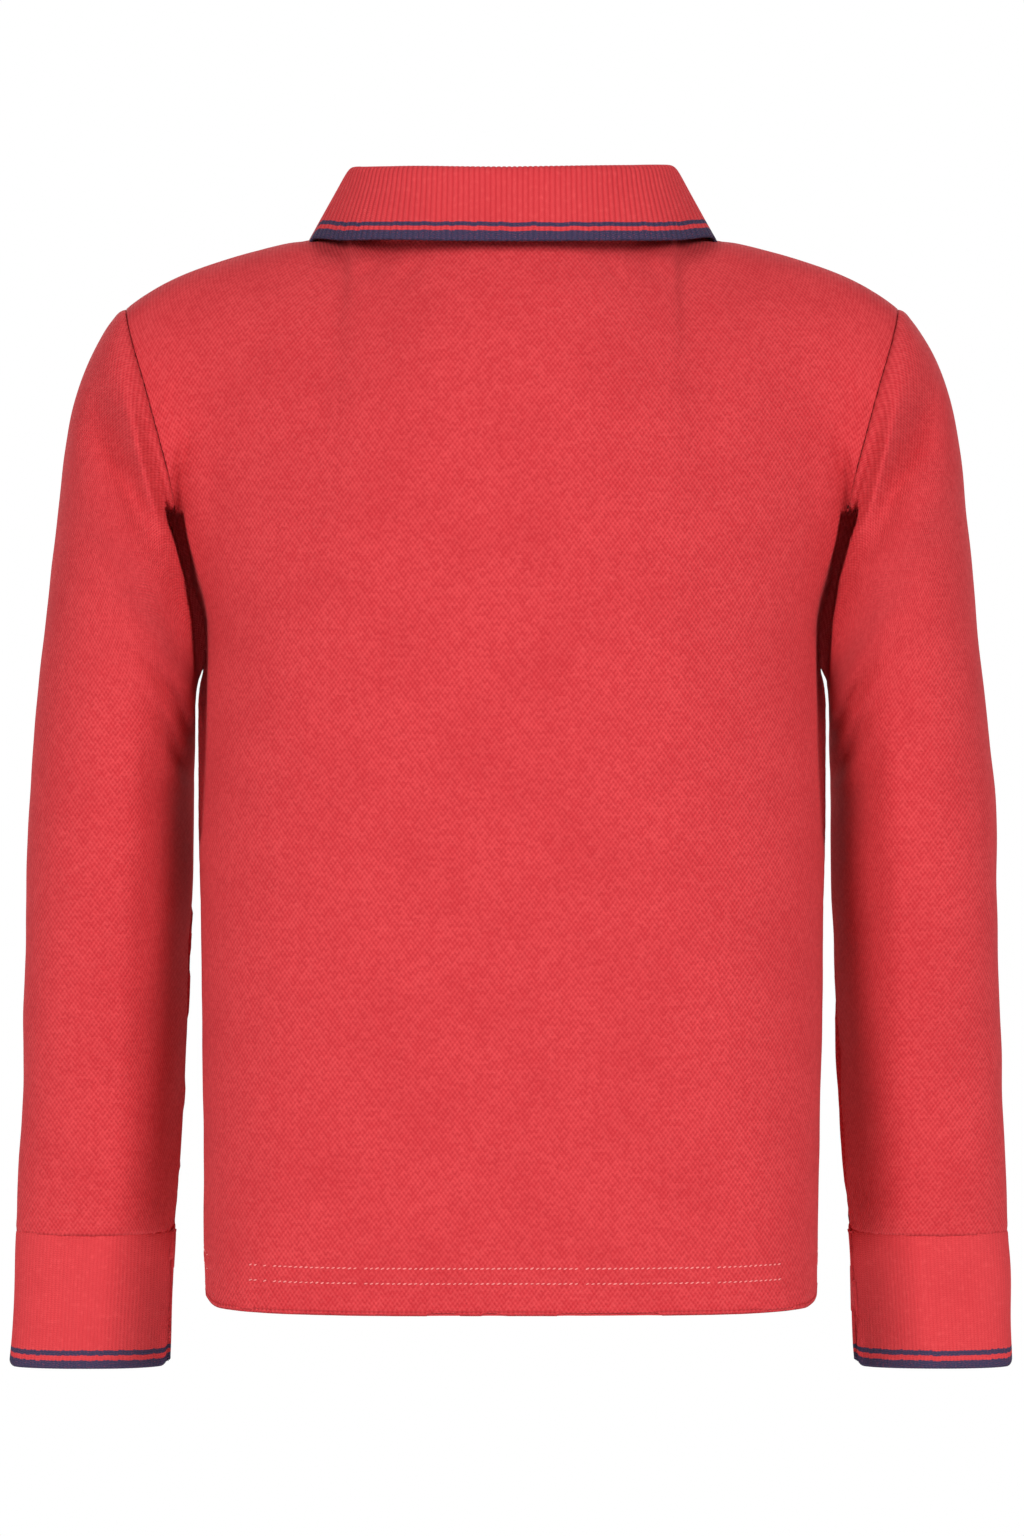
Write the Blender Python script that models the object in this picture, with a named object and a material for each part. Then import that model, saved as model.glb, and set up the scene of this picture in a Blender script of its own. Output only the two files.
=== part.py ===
"""Child's long-sleeve polo shirt, filled out on a general figure and hollow.

The wearer faces -Y, the wearer's left is +X and +Z is up.  The origin is where
the shoulders carry the shirt: the middle of the neck, level with the top of the
shoulder seams.  Sizes are in millimetres here and become metres in the meshes.
"""
import bmesh
import bpy
import numpy as np

MM = 0.001

# ---- cloth -------------------------------------------------------------
WALL = 1.5            # pique, with room for its texture
RIB_WALL = 1.9        # flat-knit rib of collar and cuffs
RIB_HEIGHT = 0.45     # how far a rib stands out of its wall
SEAM_GAP = 0.4        # between two pieces that are sewn together
LAYER_GAP = 0.35      # between two layers that lie on each other

# ---- grids -------------------------------------------------------------
HALF_COLUMNS = 10     # from the centre of a panel to its side
BODY_BANDS = 13       # from the hem to the underarm
YOKE_BANDS = 12       # from the underarm to the shoulder
SLEEVE_SHARE = 0.5    # share of the columns that ends at the neck

# ---- body --------------------------------------------------------------
HEM_Z = -447.5
UNDERARM_Z = -184.0
# height, half width, depth of the back, depth of the front, squareness
BODY = (
    (-447.5, 128.4, 72.0, 74.0, 3.8),
    (-400.0, 129.0, 72.5, 77.0, 3.3),
    (-318.0, 130.3, 75.0, 81.0, 2.9),
    (-250.0, 130.9, 78.0, 83.0, 2.65),
    (-213.0, 130.3, 81.0, 84.0, 2.55),
    (-184.0, 129.2, 82.0, 84.0, 2.5),
)
# ---- neckline: an oval that drops towards the front ---------------------
NECK_HALF = 70.0
NECK_DEPTH = 51.0
NECK_CENTRE_Y = -7.0
# angle from the centre back, height
NECK_HEIGHT = (
    (0.0, -6.0),
    (45.0, -5.4),
    (90.0, -4.0),
    (120.0, -20.0),
    (150.0, -48.0),
    (180.0, -62.0),
)
# ---- shoulder ridge: distance from the centre, height, front-back place --
SHOULDER = (
    (70.0, -4.0, -7.0),
    (86.0, -6.2, -6.8),
    (114.0, -12.6, -6.4),
    (135.7, -20.0, -6.0),
    (150.8, -27.4, -5.5),
    (161.7, -35.5, -5.0),
)
SHOULDER_TIP = (161.7, -35.5, -5.0)
# ---- armhole: height, distance from the centre ---------------------------
ARMHOLE = (
    (-184.0, 129.2),
    (-175.0, 128.3),
    (-165.0, 128.6),
    (-157.0, 130.4),
    (-148.0, 133.0),
    (-139.0, 135.7),
    (-128.0, 137.8),
    (-112.0, 140.2),
    (-100.0, 142.8),
    (-88.0, 146.0),
    (-75.0, 149.4),
    (-60.0, 153.7),
    (-47.0, 158.0),
    (-35.5, 161.7),
)
ARMHOLE_BACK = 56.0   # how deep the armhole curves behind the shoulder line
ARMHOLE_FRONT = 60.0
ROLL_POWER = 2.2      # roundness of the turn from the back over the shoulder
ROLL_NECK_BACK = 0.80
ROLL_NECK_FRONT = 0.76
ROLL_SHOULDER = 0.995

# ---- sleeve rings: outer edge x, z; inner edge x, z; half depth; middle y --
SLEEVE = (
    (170.1, -43.7, 130.4, -185.5, 42.0, -3.0),
    (177.7, -57.5, 131.0, -187.0, 44.5, -3.0),
    (182.9, -71.4, 131.5, -189.0, 46.0, -3.0),
    (187.3, -90.7, 131.9, -191.5, 46.5, -3.0),
    (190.0, -112.0, 132.2, -194.5, 46.0, -3.0),
    (192.6, -136.0, 132.5, -198.5, 45.0, -3.0),
    (195.2, -162.0, 132.8, -204.0, 43.5, -3.0),
    (198.2, -190.0, 133.1, -212.0, 42.0, -2.5),
    (200.3, -213.0, 133.5, -224.0, 40.5, -2.0),
    (202.0, -236.0, 133.7, -239.0, 39.0, -1.0),
    (203.0, -256.0, 133.8, -256.0, 37.5, 0.0),
    (203.9, -277.0, 134.3, -277.0, 35.5, 0.0),
    (204.9, -302.0, 135.2, -302.0, 33.0, -1.0),
    (205.7, -328.0, 136.2, -328.0, 30.5, -3.0),
    (206.4, -354.0, 137.3, -354.0, 28.0, -5.5),
    (207.9, -380.0, 138.8, -380.0, 25.5, -7.0),
    (208.9, -403.0, 140.6, -403.0, 23.0, -8.5),
    (209.8, -421.3, 142.0, -421.3, 20.0, -9.5),
)
SLEEVE_ROUND = 2.15
SLEEVE_FRONT_ROUND = 2.5  # the front is fuller at the top of the arm, and evens out to the cuff
SEAM_RING_DEPTH = 36.0    # half depth of the plain ring that the armhole's shape is measured from
SEAM_PUFF = (9.0, 11.0, 8.0, 4.0)    # how far the first rings swell past the seam
SEAM_PUFF_OUT = (3.2, 3.6, 2.6, 1.2)
SEAM_PUFF_SHAPE = 1.3
SEAM_PUFF_TOP = 0.95      # the swell ends just short of the shoulder
SEAM_SHAPE_LEFT = (0.85, 0.6, 0.35, 0.15)  # how much of the armhole's shape is left
EVEN_RING = 6.0           # from this ring on, the columns are spread evenly

# ---- broad folds, on the left side and mirrored to the right ----------------
# panel, +1 behind or -1 in front, start x, z, end x, z, height, half width
FOLDS = (
    ("sleeve", 1, 161.0, -60.0, 151.0, -94.0, -1.8, 8.5),
    ("sleeve", 1, 169.0, -66.0, 154.0, -104.0, 1.8, 10.0),
    ("sleeve", 1, 154.0, -104.0, 140.0, -142.0, 1.5, 10.0),
    ("sleeve", 1, 150.0, -188.0, 135.0, -202.0, -1.6, 8.0),
    ("sleeve", 1, 148.0, -208.0, 135.0, -225.0, -1.2, 8.0),
    ("sleeve", 1, 176.0, -384.0, 150.0, -396.0, -1.0, 10.0),
    ("sleeve", -1, 159.0, -56.0, 150.0, -88.0, -1.6, 9.0),
    ("sleeve", -1, 167.0, -72.0, 148.0, -118.0, 1.8, 11.0),
    ("sleeve", -1, 158.0, -196.0, 136.0, -214.0, -2.0, 9.0),
    ("sleeve", -1, 156.0, -226.0, 137.0, -240.0, -1.6, 9.0),
    ("sleeve", -1, 180.0, -372.0, 152.0, -388.0, -1.4, 10.0),
    ("back", 1, 133.0, -84.0, 128.0, -126.0, -1.4, 9.0),
    ("back", 1, 118.0, -140.0, 124.0, -178.0, 1.0, 11.0),
    ("front", -1, 132.0, -78.0, 126.0, -120.0, -1.6, 10.0),
    ("front", -1, 112.0, -150.0, 125.0, -186.0, -1.4, 12.0),
)

# ---- cuff ----------------------------------------------------------------
# height, outer edge, inner edge, half depth, middle y
CUFF = (
    (-421.7, 209.8, 142.0, 19.2, -9.5),
    (-479.4, 212.7, 143.4, 14.5, -11.0),
)
CUFF_ROUND = 2.3
CUFF_RIBS = 108

# ---- collar, a straight strip folded over --------------------------------
# angle, fold out, fold up, then the free edge: x, y, z
COLLAR = (
    (0.0, -4.0, 28.7, 0.0, 54.0, -8.4),
    (30.0, -4.2, 28.8, 35.5, 48.6, -8.2),
    (60.0, -4.6, 29.0, 67.5, 30.0, -7.2),
    (90.0, -5.0, 29.2, 86.0, -7.0, -5.2),
    (120.0, -4.0, 28.0, 83.5, -40.0, -22.0),
    (150.0, -1.5, 19.0, 69.0, -69.0, -60.0),
    (176.0, 1.0, 9.0, 46.0, -88.0, -103.0),
)
COLLAR_END = 176.0
COLLAR_RIBS = 190
COLLAR_SIT = 2.0      # the strip's middle stands this far above the neckline
FOLD_HALF = 2.6       # half the width of the turn at the fold
# the turn's four rows: share of FOLD_HALF outwards, upwards and down the fall
FOLD_TURN = (
    (-1.0, -1.1, 0.0),
    (-0.45, 0.0, 0.0),
    (0.45, 0.0, 0.0),
    (1.0, 0.0, 1.2),
)

# ---- placket and buttons --------------------------------------------------
SLOT_HALF = 13.0
PLACKET_HALF = 15.0
PLACKET_WALL = 1.3
PLACKET_TOP_RISES = (-0.012, 0.985)
PLACKET_UNDER_RISES = (0.006, 1.0)
PLACKET_BANDS = 10
BUTTON_RADIUS = 5.0
BUTTON_THICK = 2.2
BUTTON_SEAT = 1.05    # its back's height above the placket's upper face and gaps
BUTTON_SEGMENTS = 24
# share of the radius, share of the thickness
BUTTON_PROFILE = (
    (0.62, 0.62),
    (0.78, 1.0),
    (0.93, 1.0),
    (1.0, 0.6),
    (0.9, 0.0),
)
BUTTON_FRACTIONS = (0.88, 0.42)   # of the yoke's height, at the centre front


def smooth(table, column, at):
    """A smooth curve through one column of a table, read at its first column."""
    rows = np.array(table, float)
    keys = rows[:, 0]
    values = rows[:, column]
    slopes = np.gradient(values, keys)
    at = np.clip(np.asarray(at, float), keys[0], keys[-1])
    left = np.clip(np.searchsorted(keys, at, side="right") - 1, 0, len(keys) - 2)
    span = keys[left + 1] - keys[left]
    f = (at - keys[left]) / span
    start = (1 + 2 * f) * (1 - f) ** 2 * values[left]
    end = f * f * (3 - 2 * f) * values[left + 1]
    bend = f * (1 - f) ** 2 * slopes[left] - f * f * (1 - f) * slopes[left + 1]
    return start + end + bend * span


def oval_quarter(squareness, share):
    """Point on a unit superellipse quarter, share 0 at its front-back end, 1 at its side."""
    angle = np.linspace(0.0, np.pi / 2, 200)
    x = np.sin(angle) ** (2 / squareness)
    y = np.cos(angle) ** (2 / squareness)
    width_to_depth = 1.6
    steps = np.hypot(np.diff(x) * width_to_depth, np.diff(y))
    length = np.concatenate(([0.0], np.cumsum(steps)))
    length /= length[-1]
    return np.interp(share, length, x), np.interp(share, length, y)


def neck_point(angle):
    """Point of the neckline at an angle in degrees from the centre back."""
    turn = np.radians(angle)
    x = NECK_HALF * np.sin(turn)
    y = NECK_CENTRE_Y + NECK_DEPTH * np.cos(turn)
    return np.array([x, y, smooth(NECK_HEIGHT, 1, angle)])


def top_edge(side, share):
    """Neckline and then shoulder seam of a panel; side is +1 at the back, -1 in front."""
    if share < SLEEVE_SHARE:
        turn = 90.0 * share / SLEEVE_SHARE
        return neck_point(turn if side > 0 else 180.0 - turn)
    along = (share - SLEEVE_SHARE) / (1 - SLEEVE_SHARE)
    x = NECK_HALF + (SHOULDER_TIP[0] - NECK_HALF) * along
    return np.array([x, smooth(SHOULDER, 2, x), smooth(SHOULDER, 1, x)])


def body_point(side, share, z):
    """Point of the tube below the underarm."""
    half = smooth(BODY, 1, z)
    depth = smooth(BODY, 2 if side > 0 else 3, z)
    x, y = oval_quarter(float(smooth(BODY, 4, z)), share)
    return np.array([half * x, side * depth * y, z])


def armhole_depth(side, rise):
    """How far the armhole curves behind or before the shoulder line at a rise of 0 to 1."""
    reach = ARMHOLE_BACK if side > 0 else ARMHOLE_FRONT
    return side * reach * rise ** 0.8 * (1 - rise ** 3) ** 0.55


def roll(rise, limit):
    """Share of the way from the top edge back to the full depth."""
    depth = (1 - (rise * limit) ** ROLL_POWER) ** (1 / ROLL_POWER)
    least = (1 - limit ** ROLL_POWER) ** (1 / ROLL_POWER)
    return (depth - least) / (1 - least)


def roll_limit(side, share):
    """The turn ends early at the neck and goes right over at the shoulder."""
    neck = ROLL_NECK_BACK if side > 0 else ROLL_NECK_FRONT
    along = min(share / SLEEVE_SHARE, 1.0)
    return neck + (ROLL_SHOULDER - neck) * along ** 1.5


def yoke_point(side, share, rise):
    """Point above the underarm, at a rise of 0 there and 1 at neck and shoulder."""
    top = top_edge(side, share)
    ring = body_point(side, share, UNDERARM_Z)
    z = UNDERARM_Z + (top[2] - UNDERARM_Z) * rise
    edge_z = UNDERARM_Z + (SHOULDER_TIP[1] - UNDERARM_Z) * rise
    edge_x = smooth(ARMHOLE, 1, edge_z)
    ring_share = ring[0] / smooth(BODY, 1, UNDERARM_Z)
    top_share = top[0] / SHOULDER_TIP[0]
    x = edge_x * (ring_share + (top_share - ring_share) * rise)
    y = top[1] + (ring[1] - top[1]) * roll(rise, roll_limit(side, share))
    return np.array([x, y + armhole_depth(side, rise) * share ** 5, z])


def yoke_rises():
    """Rises of the rows, closest at the shoulder and close again at the underarm."""
    step = np.arange(YOKE_BANDS + 1) / YOKE_BANDS
    return 0.5 * (np.sin(np.pi / 2 * step) + (1 - np.cos(np.pi * step)) / 2)


def share_at(side, rise, x):
    """Column share whose point on a row of the yoke has this distance from the centre."""
    shares = np.linspace(0.0, 0.4, 41)
    across = [yoke_point(side, share, rise)[0] for share in shares]
    return float(np.interp(x, across, shares))


def panel_grid(side):
    """Outer points of a panel, rows from hem to top, columns from right to left side."""
    shares = np.arange(HALF_COLUMNS + 1) / HALF_COLUMNS
    rows = []
    for z in np.linspace(HEM_Z, UNDERARM_Z, BODY_BANDS + 1)[:-1]:
        rows.append([body_point(side, share, z) for share in shares])
        if side < 0:
            rows[-1][1] = body_point(side, shares[1] * 0.75, z)
    for rise in yoke_rises():
        row = [yoke_point(side, share, rise) for share in shares]
        if side < 0:
            row[1] = yoke_point(side, share_at(side, rise, SLOT_HALF), rise)
        rows.append(row)
    half = np.array(rows)
    half[:, -1, 1] += side * SEAM_GAP / 2
    other = half[:, :0:-1] * (-1, 1, 1)
    return np.concatenate((other, half), axis=1)


def grid_normals(grid, closed=False):
    """Unit normals of a grid of points; a closed grid's columns run all the way round."""
    if closed:
        grid = np.concatenate((grid[:, -1:], grid, grid[:, :1]), axis=1)
    across = np.gradient(grid, axis=1)
    along = np.gradient(grid, axis=0)
    if closed:
        across = across[:, 1:-1]
        along = along[:, 1:-1]
    normal = np.cross(across, along)
    return normal / np.linalg.norm(normal, axis=2, keepdims=True)


def fold_heights(panel, grid):
    """How far the broad folds of a panel lift each point of its left half."""
    lift = np.zeros(grid.shape[:2])
    flat = np.abs(grid[..., ::2])
    for name, face, x0, z0, x1, z1, height, half_width in FOLDS:
        start = np.array([x0, z0])
        run = np.array([x1, z1]) - start
        share = np.clip((flat - start) @ run / (run @ run), 0.0, 1.0)
        away = np.linalg.norm(flat - start - share[..., None] * run, axis=-1)
        here = (name == panel) & (grid[..., 1] * face > 0)
        lift += np.where(here, height * np.exp(-(away / half_width) ** 2), 0.0)
    return lift[..., None]


def share_edge(first, second):
    """One direction for the thickness of two edges that are sewn together."""
    middle = first + second
    middle /= np.linalg.norm(middle, axis=-1, keepdims=True)
    first[...] = middle
    second[...] = middle


def finish_mesh(name, bm, colour, rough):
    """Turn a bmesh in millimetres into a named object with its own material."""
    bmesh.ops.scale(bm, vec=(MM, MM, MM), verts=bm.verts)
    bmesh.ops.recalc_face_normals(bm, faces=bm.faces)
    mesh = bpy.data.meshes.new(name)
    bm.to_mesh(mesh)
    bm.free()
    mesh.shade_smooth()
    mesh.set_sharp_from_angle(angle=np.radians(50))
    material = bpy.data.materials.new(name)
    material.use_nodes = True
    shader = material.node_tree.nodes["Principled BSDF"]
    shader.inputs["Base Color"].default_value = (*colour, 1.0)
    shader.inputs["Roughness"].default_value = rough
    shader.inputs["Metallic"].default_value = 0.0
    mesh.materials.append(material)
    part = bpy.data.objects.new(name, mesh)
    bpy.context.scene.collection.objects.link(part)
    return part


def close_rims(bm, outer, inner):
    """Join the free edges of two walls that have the same layout."""
    partner = dict(zip(outer, inner))
    edges = [e for e in bm.edges if len(e.link_faces) == 1 and e.verts[0] in partner]
    for edge in edges:
        a, b = edge.verts
        bm.faces.new((a, b, partner[b], partner[a]))


def wall(name, grid, normals, lift, thick, colour, rough, closed=False, keep=None):
    """A closed wall on a grid of points: outer face lifted, inner face below it."""
    bm = bmesh.new()
    rows, columns = grid.shape[:2]
    layers = []
    for height in (lift, lift - thick):
        points = grid + normals * height
        layers.append([[bm.verts.new(p) for p in row] for row in points])
    outer, inner = layers
    for i in range(rows - 1):
        for j in range(columns if closed else columns - 1):
            if keep is not None and not keep(i, j):
                continue
            k = (j + 1) % columns
            bm.faces.new([outer[m][n] for m, n in ((i, j), (i, k), (i + 1, k), (i + 1, j))])
            bm.faces.new([inner[m][n] for m, n in ((i, j), (i + 1, j), (i + 1, k), (i, k))])
    loose = [v for v in bm.verts if not v.link_faces]
    flat_outer = [v for row in outer for v in row if v.link_faces]
    flat_inner = [v for row in inner for v in row if v.link_faces]
    close_rims(bm, flat_outer, flat_inner)
    for vert in loose:
        bm.verts.remove(vert)
    return finish_mesh(name, bm, colour, rough)


def ring(outer_x, outer_z, inner_x, inner_z, depth, middle, share, rounds):
    """Sleeve ring: share 0 at its inner edge, up behind the arm to 1, and back in front."""
    inner = np.array([inner_x, middle, inner_z])
    outer = np.array([outer_x, middle, outer_z])
    behind, before = ((1 - np.abs(2 * share - 1) ** k) ** (1 / k) * depth for k in rounds)
    back = inner + (outer - inner) * share[:, None]
    front = back[-2:0:-1].copy()
    back[:, 1] += behind
    front[:, 1] -= before[-2:0:-1]
    return np.concatenate((back, front))


def armhole_loop(back, front):
    """The left armhole's edge, up the back panel and down the front panel."""
    behind = back[-YOKE_BANDS - 1:, -1]
    before = front[-YOKE_BANDS - 1:, -1]
    return np.concatenate((behind, before[-2:0:-1]))


def sleeve_grid(loop):
    """Outer points of the left sleeve, rings from the armhole to the cuff."""
    rises = yoke_rises()
    even = (1 - np.cos(np.pi * np.arange(YOKE_BANDS + 1) / YOKE_BANDS)) / 2
    tip_x, tip_z, tip_y = SHOULDER_TIP
    first = ring(tip_x, tip_z, loop[0][0], loop[0][2], SEAM_RING_DEPTH, tip_y, rises, (2.0, 2.0))
    left_over = loop - first
    puff = np.sin(np.pi * np.clip(rises / SEAM_PUFF_TOP, 0, 1)) * (1 - rises) * SEAM_PUFF_SHAPE
    puff = np.concatenate((puff, -puff[-2:0:-1]))
    rings = []
    for k, row in enumerate(SLEEVE):
        blend = min((k + 1) / EVEN_RING, 1.0)
        share = rises + (even - rises) * blend
        fuller = (SLEEVE_FRONT_ROUND - SLEEVE_ROUND) * (1 - (k / (len(SLEEVE) - 1)) ** 2)
        points = ring(*row, share, (SLEEVE_ROUND, SLEEVE_ROUND + fuller))
        if k < len(SEAM_PUFF):
            points += left_over * SEAM_SHAPE_LEFT[k]
            points[:, 1] += puff * SEAM_PUFF[k]
            points[:, 0] += np.abs(puff) * SEAM_PUFF_OUT[k]
        rings.append(points)
    away = rings[0] - loop
    away /= np.linalg.norm(away, axis=1, keepdims=True)
    return np.array([loop + away * SEAM_GAP * 1.5] + rings)


def rib_columns(count, coarse):
    """Steps for ribbed outer columns, with a plain inner column at every so many."""
    return 2 * count, 2 * count // coarse


def ribbed_wall(name, section, count, coarse, closed, colour, rough):
    """A rib-knit wall: raised ribs on its outer face and a plain face under them.

    section(share) gives the wall's middle points and normals along one rib.
    """
    fine, plain = rib_columns(count, coarse)
    bm = bmesh.new()
    outer = []
    for j in range(fine if closed else fine + 1):
        points, normals = section(j / fine)
        lift = RIB_WALL / 2 + (0.0 if j % 2 else -RIB_HEIGHT)
        outer.append([bm.verts.new(p + n * lift) for p, n in zip(points, normals)])
    inner = []
    for j in range(plain if closed else plain + 1):
        points, normals = section(j / plain)
        inner.append([bm.verts.new(p - n * RIB_WALL / 2) for p, n in zip(points, normals)])
    rows = len(outer[0])
    for columns, flip in ((outer, False), (inner, True)):
        total = len(columns)
        for j in range(total if closed else total - 1):
            near, far = columns[j], columns[(j + 1) % total]
            for i in range(rows - 1):
                face = [near[i], far[i], far[i + 1], near[i + 1]]
                bm.faces.new(face[::-1] if flip else face)
    for j in range(plain):
        start = j * coarse
        a, b = inner[j], inner[(j + 1) % len(inner)]
        for row in (0, rows - 1):
            top = [outer[(start + k) % len(outer)][row] for k in range(coarse + 1)]
            middle = coarse // 2
            for k in range(coarse):
                corner = a[row] if k < middle else b[row]
                bm.faces.new((top[k], top[k + 1], corner))
            bm.faces.new((top[middle], b[row], a[row]))
    if not closed:
        for near, far in ((outer[0], inner[0]), (outer[-1], inner[-1])):
            for i in range(rows - 1):
                bm.faces.new((near[i], near[i + 1], far[i + 1], far[i]))
    return finish_mesh(name, bm, colour, rough)


def collar_middle(angle):
    """Middle points of the folded strip at an angle from the centre back, to the left."""
    base = neck_point(angle)
    turn = np.radians(angle)
    out = np.array([np.sin(turn) / NECK_HALF, np.cos(turn) / NECK_DEPTH, 0.0])
    out /= np.linalg.norm(out)
    up = np.array([0.0, 0.0, 1.0])
    fold_out = smooth(COLLAR, 1, angle)
    fold_up = smooth(COLLAR, 2, angle)
    edge = np.array([smooth(COLLAR, k, angle) for k in (3, 4, 5)])
    fold = base + out * fold_out + up * fold_up
    fall = (edge - fold) / np.linalg.norm(edge - fold)
    turned = [fold + FOLD_HALF * (out * a + up * b + fall * c) for a, b, c in FOLD_TURN]
    return np.array([base + up * COLLAR_SIT] + turned + [edge])


def collar_share_angle(share):
    """Angle whose place along the fold has this share of the strip's length."""
    angles = np.linspace(0.0, COLLAR_END, 89)
    folds = np.array([collar_middle(angle)[2] for angle in angles])
    steps = np.linalg.norm(np.diff(folds, axis=0), axis=1)
    length = np.concatenate(([0.0], np.cumsum(steps)))
    return np.interp(share, length / length[-1], angles)


def collar_section_maker():
    """Section function of the collar, from the right end round the back to the left."""
    shares = np.linspace(0.0, 1.0, 2 * COLLAR_RIBS + 1)
    angles = np.interp(shares, *sampled_collar())
    grid = np.array([mirror_if(collar_middle(abs(a)), a < 0) for a in angles])
    normals = -grid_normals(grid)

    def section(share):
        index = int(round(share * 2 * COLLAR_RIBS))
        return grid[index], normals[index]

    return section


def sampled_collar():
    """Shares of the strip and the signed angles they lie at."""
    half = np.linspace(0.0, 1.0, 60)
    angles = np.array([collar_share_angle(share) for share in half])
    shares = np.concatenate((0.5 - half[::-1] / 2, 0.5 + half[1:] / 2))
    return shares, np.concatenate((-angles[::-1], angles[1:]))


def mirror_if(points, wanted):
    """The points, or their mirror image in the plane between left and right."""
    return points * (-1, 1, 1) if wanted else points


def cuff_section_maker(side):
    """Section function of a cuff, round the wrist from its inner edge."""
    count = 2 * CUFF_RIBS
    around = np.linspace(0.0, 1.0, 400)
    turn = 2 * np.pi * around
    raw = cuff_ring(CUFF[0], turn)
    steps = np.linalg.norm(np.diff(raw, axis=0), axis=1)
    length = np.concatenate(([0.0], np.cumsum(steps)))
    turns = np.interp(np.arange(count) / count, length / length[-1], turn)
    grid = np.array([cuff_ring(row, turns) for row in CUFF])
    normals = grid_normals(grid, closed=True)
    middle = grid.mean(axis=1, keepdims=True)
    if np.sum(normals * (grid - middle)) < 0:
        normals = -normals
    grid = grid - normals * RIB_WALL / 2

    def section(share):
        index = int(round(share * count)) % count
        points, directions = grid[:, index], normals[:, index]
        flip = (side, 1, 1)
        return points * flip, directions * flip

    return section


def cuff_ring(row, turn):
    """Points of a cuff's edge at the given angles."""
    z, outer, inner, depth, middle = row
    power = 2 / CUFF_ROUND
    x = -np.sign(np.cos(turn)) * np.abs(np.cos(turn)) ** power
    y = np.sign(np.sin(turn)) * np.abs(np.sin(turn)) ** power
    across = (outer + inner) / 2 + (outer - inner) / 2 * x
    return np.stack((across, middle + depth * y, np.full_like(turn, z)), axis=1)


def strip_grid(half, columns, first, last, bands):
    """Points of the front's surface on a centred strip between two rises."""
    grid = []
    for rise in np.linspace(first, last, bands + 1):
        row = []
        for x in np.linspace(-half, half, columns + 1):
            point = front_at(rise, abs(x))
            row.append(mirror_if(point, x < 0))
        grid.append(row)
    return np.array(grid)


def front_at(rise, x):
    """Point of the front at this distance from the centre; below 0 it is under the yoke."""
    if rise >= 0:
        return yoke_point(-1, share_at(-1, rise, x), rise)
    z = UNDERARM_Z + rise * (UNDERARM_Z - HEM_Z)
    shares = np.linspace(0.0, 0.4, 41)
    across = [body_point(-1, share, z)[0] for share in shares]
    return body_point(-1, float(np.interp(x, across, shares)), z)


def button(name, rise, colour):
    """A profile turned round the button's axis: dished face and raised rim."""
    point = front_at(rise, 0.0)
    grid = strip_grid(PLACKET_HALF, 2, rise - 0.01, rise + 0.01, 2)
    normal = -grid_normals(grid)[1, 1]
    if normal[1] > 0:
        normal = -normal
    side_way = np.array([1.0, 0.0, 0.0])
    up = np.cross(normal, side_way)
    seat = point + normal * (PLACKET_WALL + BUTTON_SEAT)
    bm = bmesh.new()
    rings = []
    for radius_share, height_share in BUTTON_PROFILE:
        turned = []
        for k in range(BUTTON_SEGMENTS):
            turn = 2 * np.pi * k / BUTTON_SEGMENTS
            offset = (side_way * np.cos(turn) + up * np.sin(turn)) * radius_share
            rise_up = normal * height_share * BUTTON_THICK
            turned.append(bm.verts.new(seat + offset * BUTTON_RADIUS + rise_up))
        rings.append(turned)
    for near, far in zip(rings, rings[1:]):
        for k in range(BUTTON_SEGMENTS):
            m = (k + 1) % BUTTON_SEGMENTS
            bm.faces.new((near[k], near[m], far[m], far[k]))
    bm.faces.new(rings[0])
    bm.faces.new(rings[-1])
    return finish_mesh(name, bm, colour, 0.35)


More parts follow.
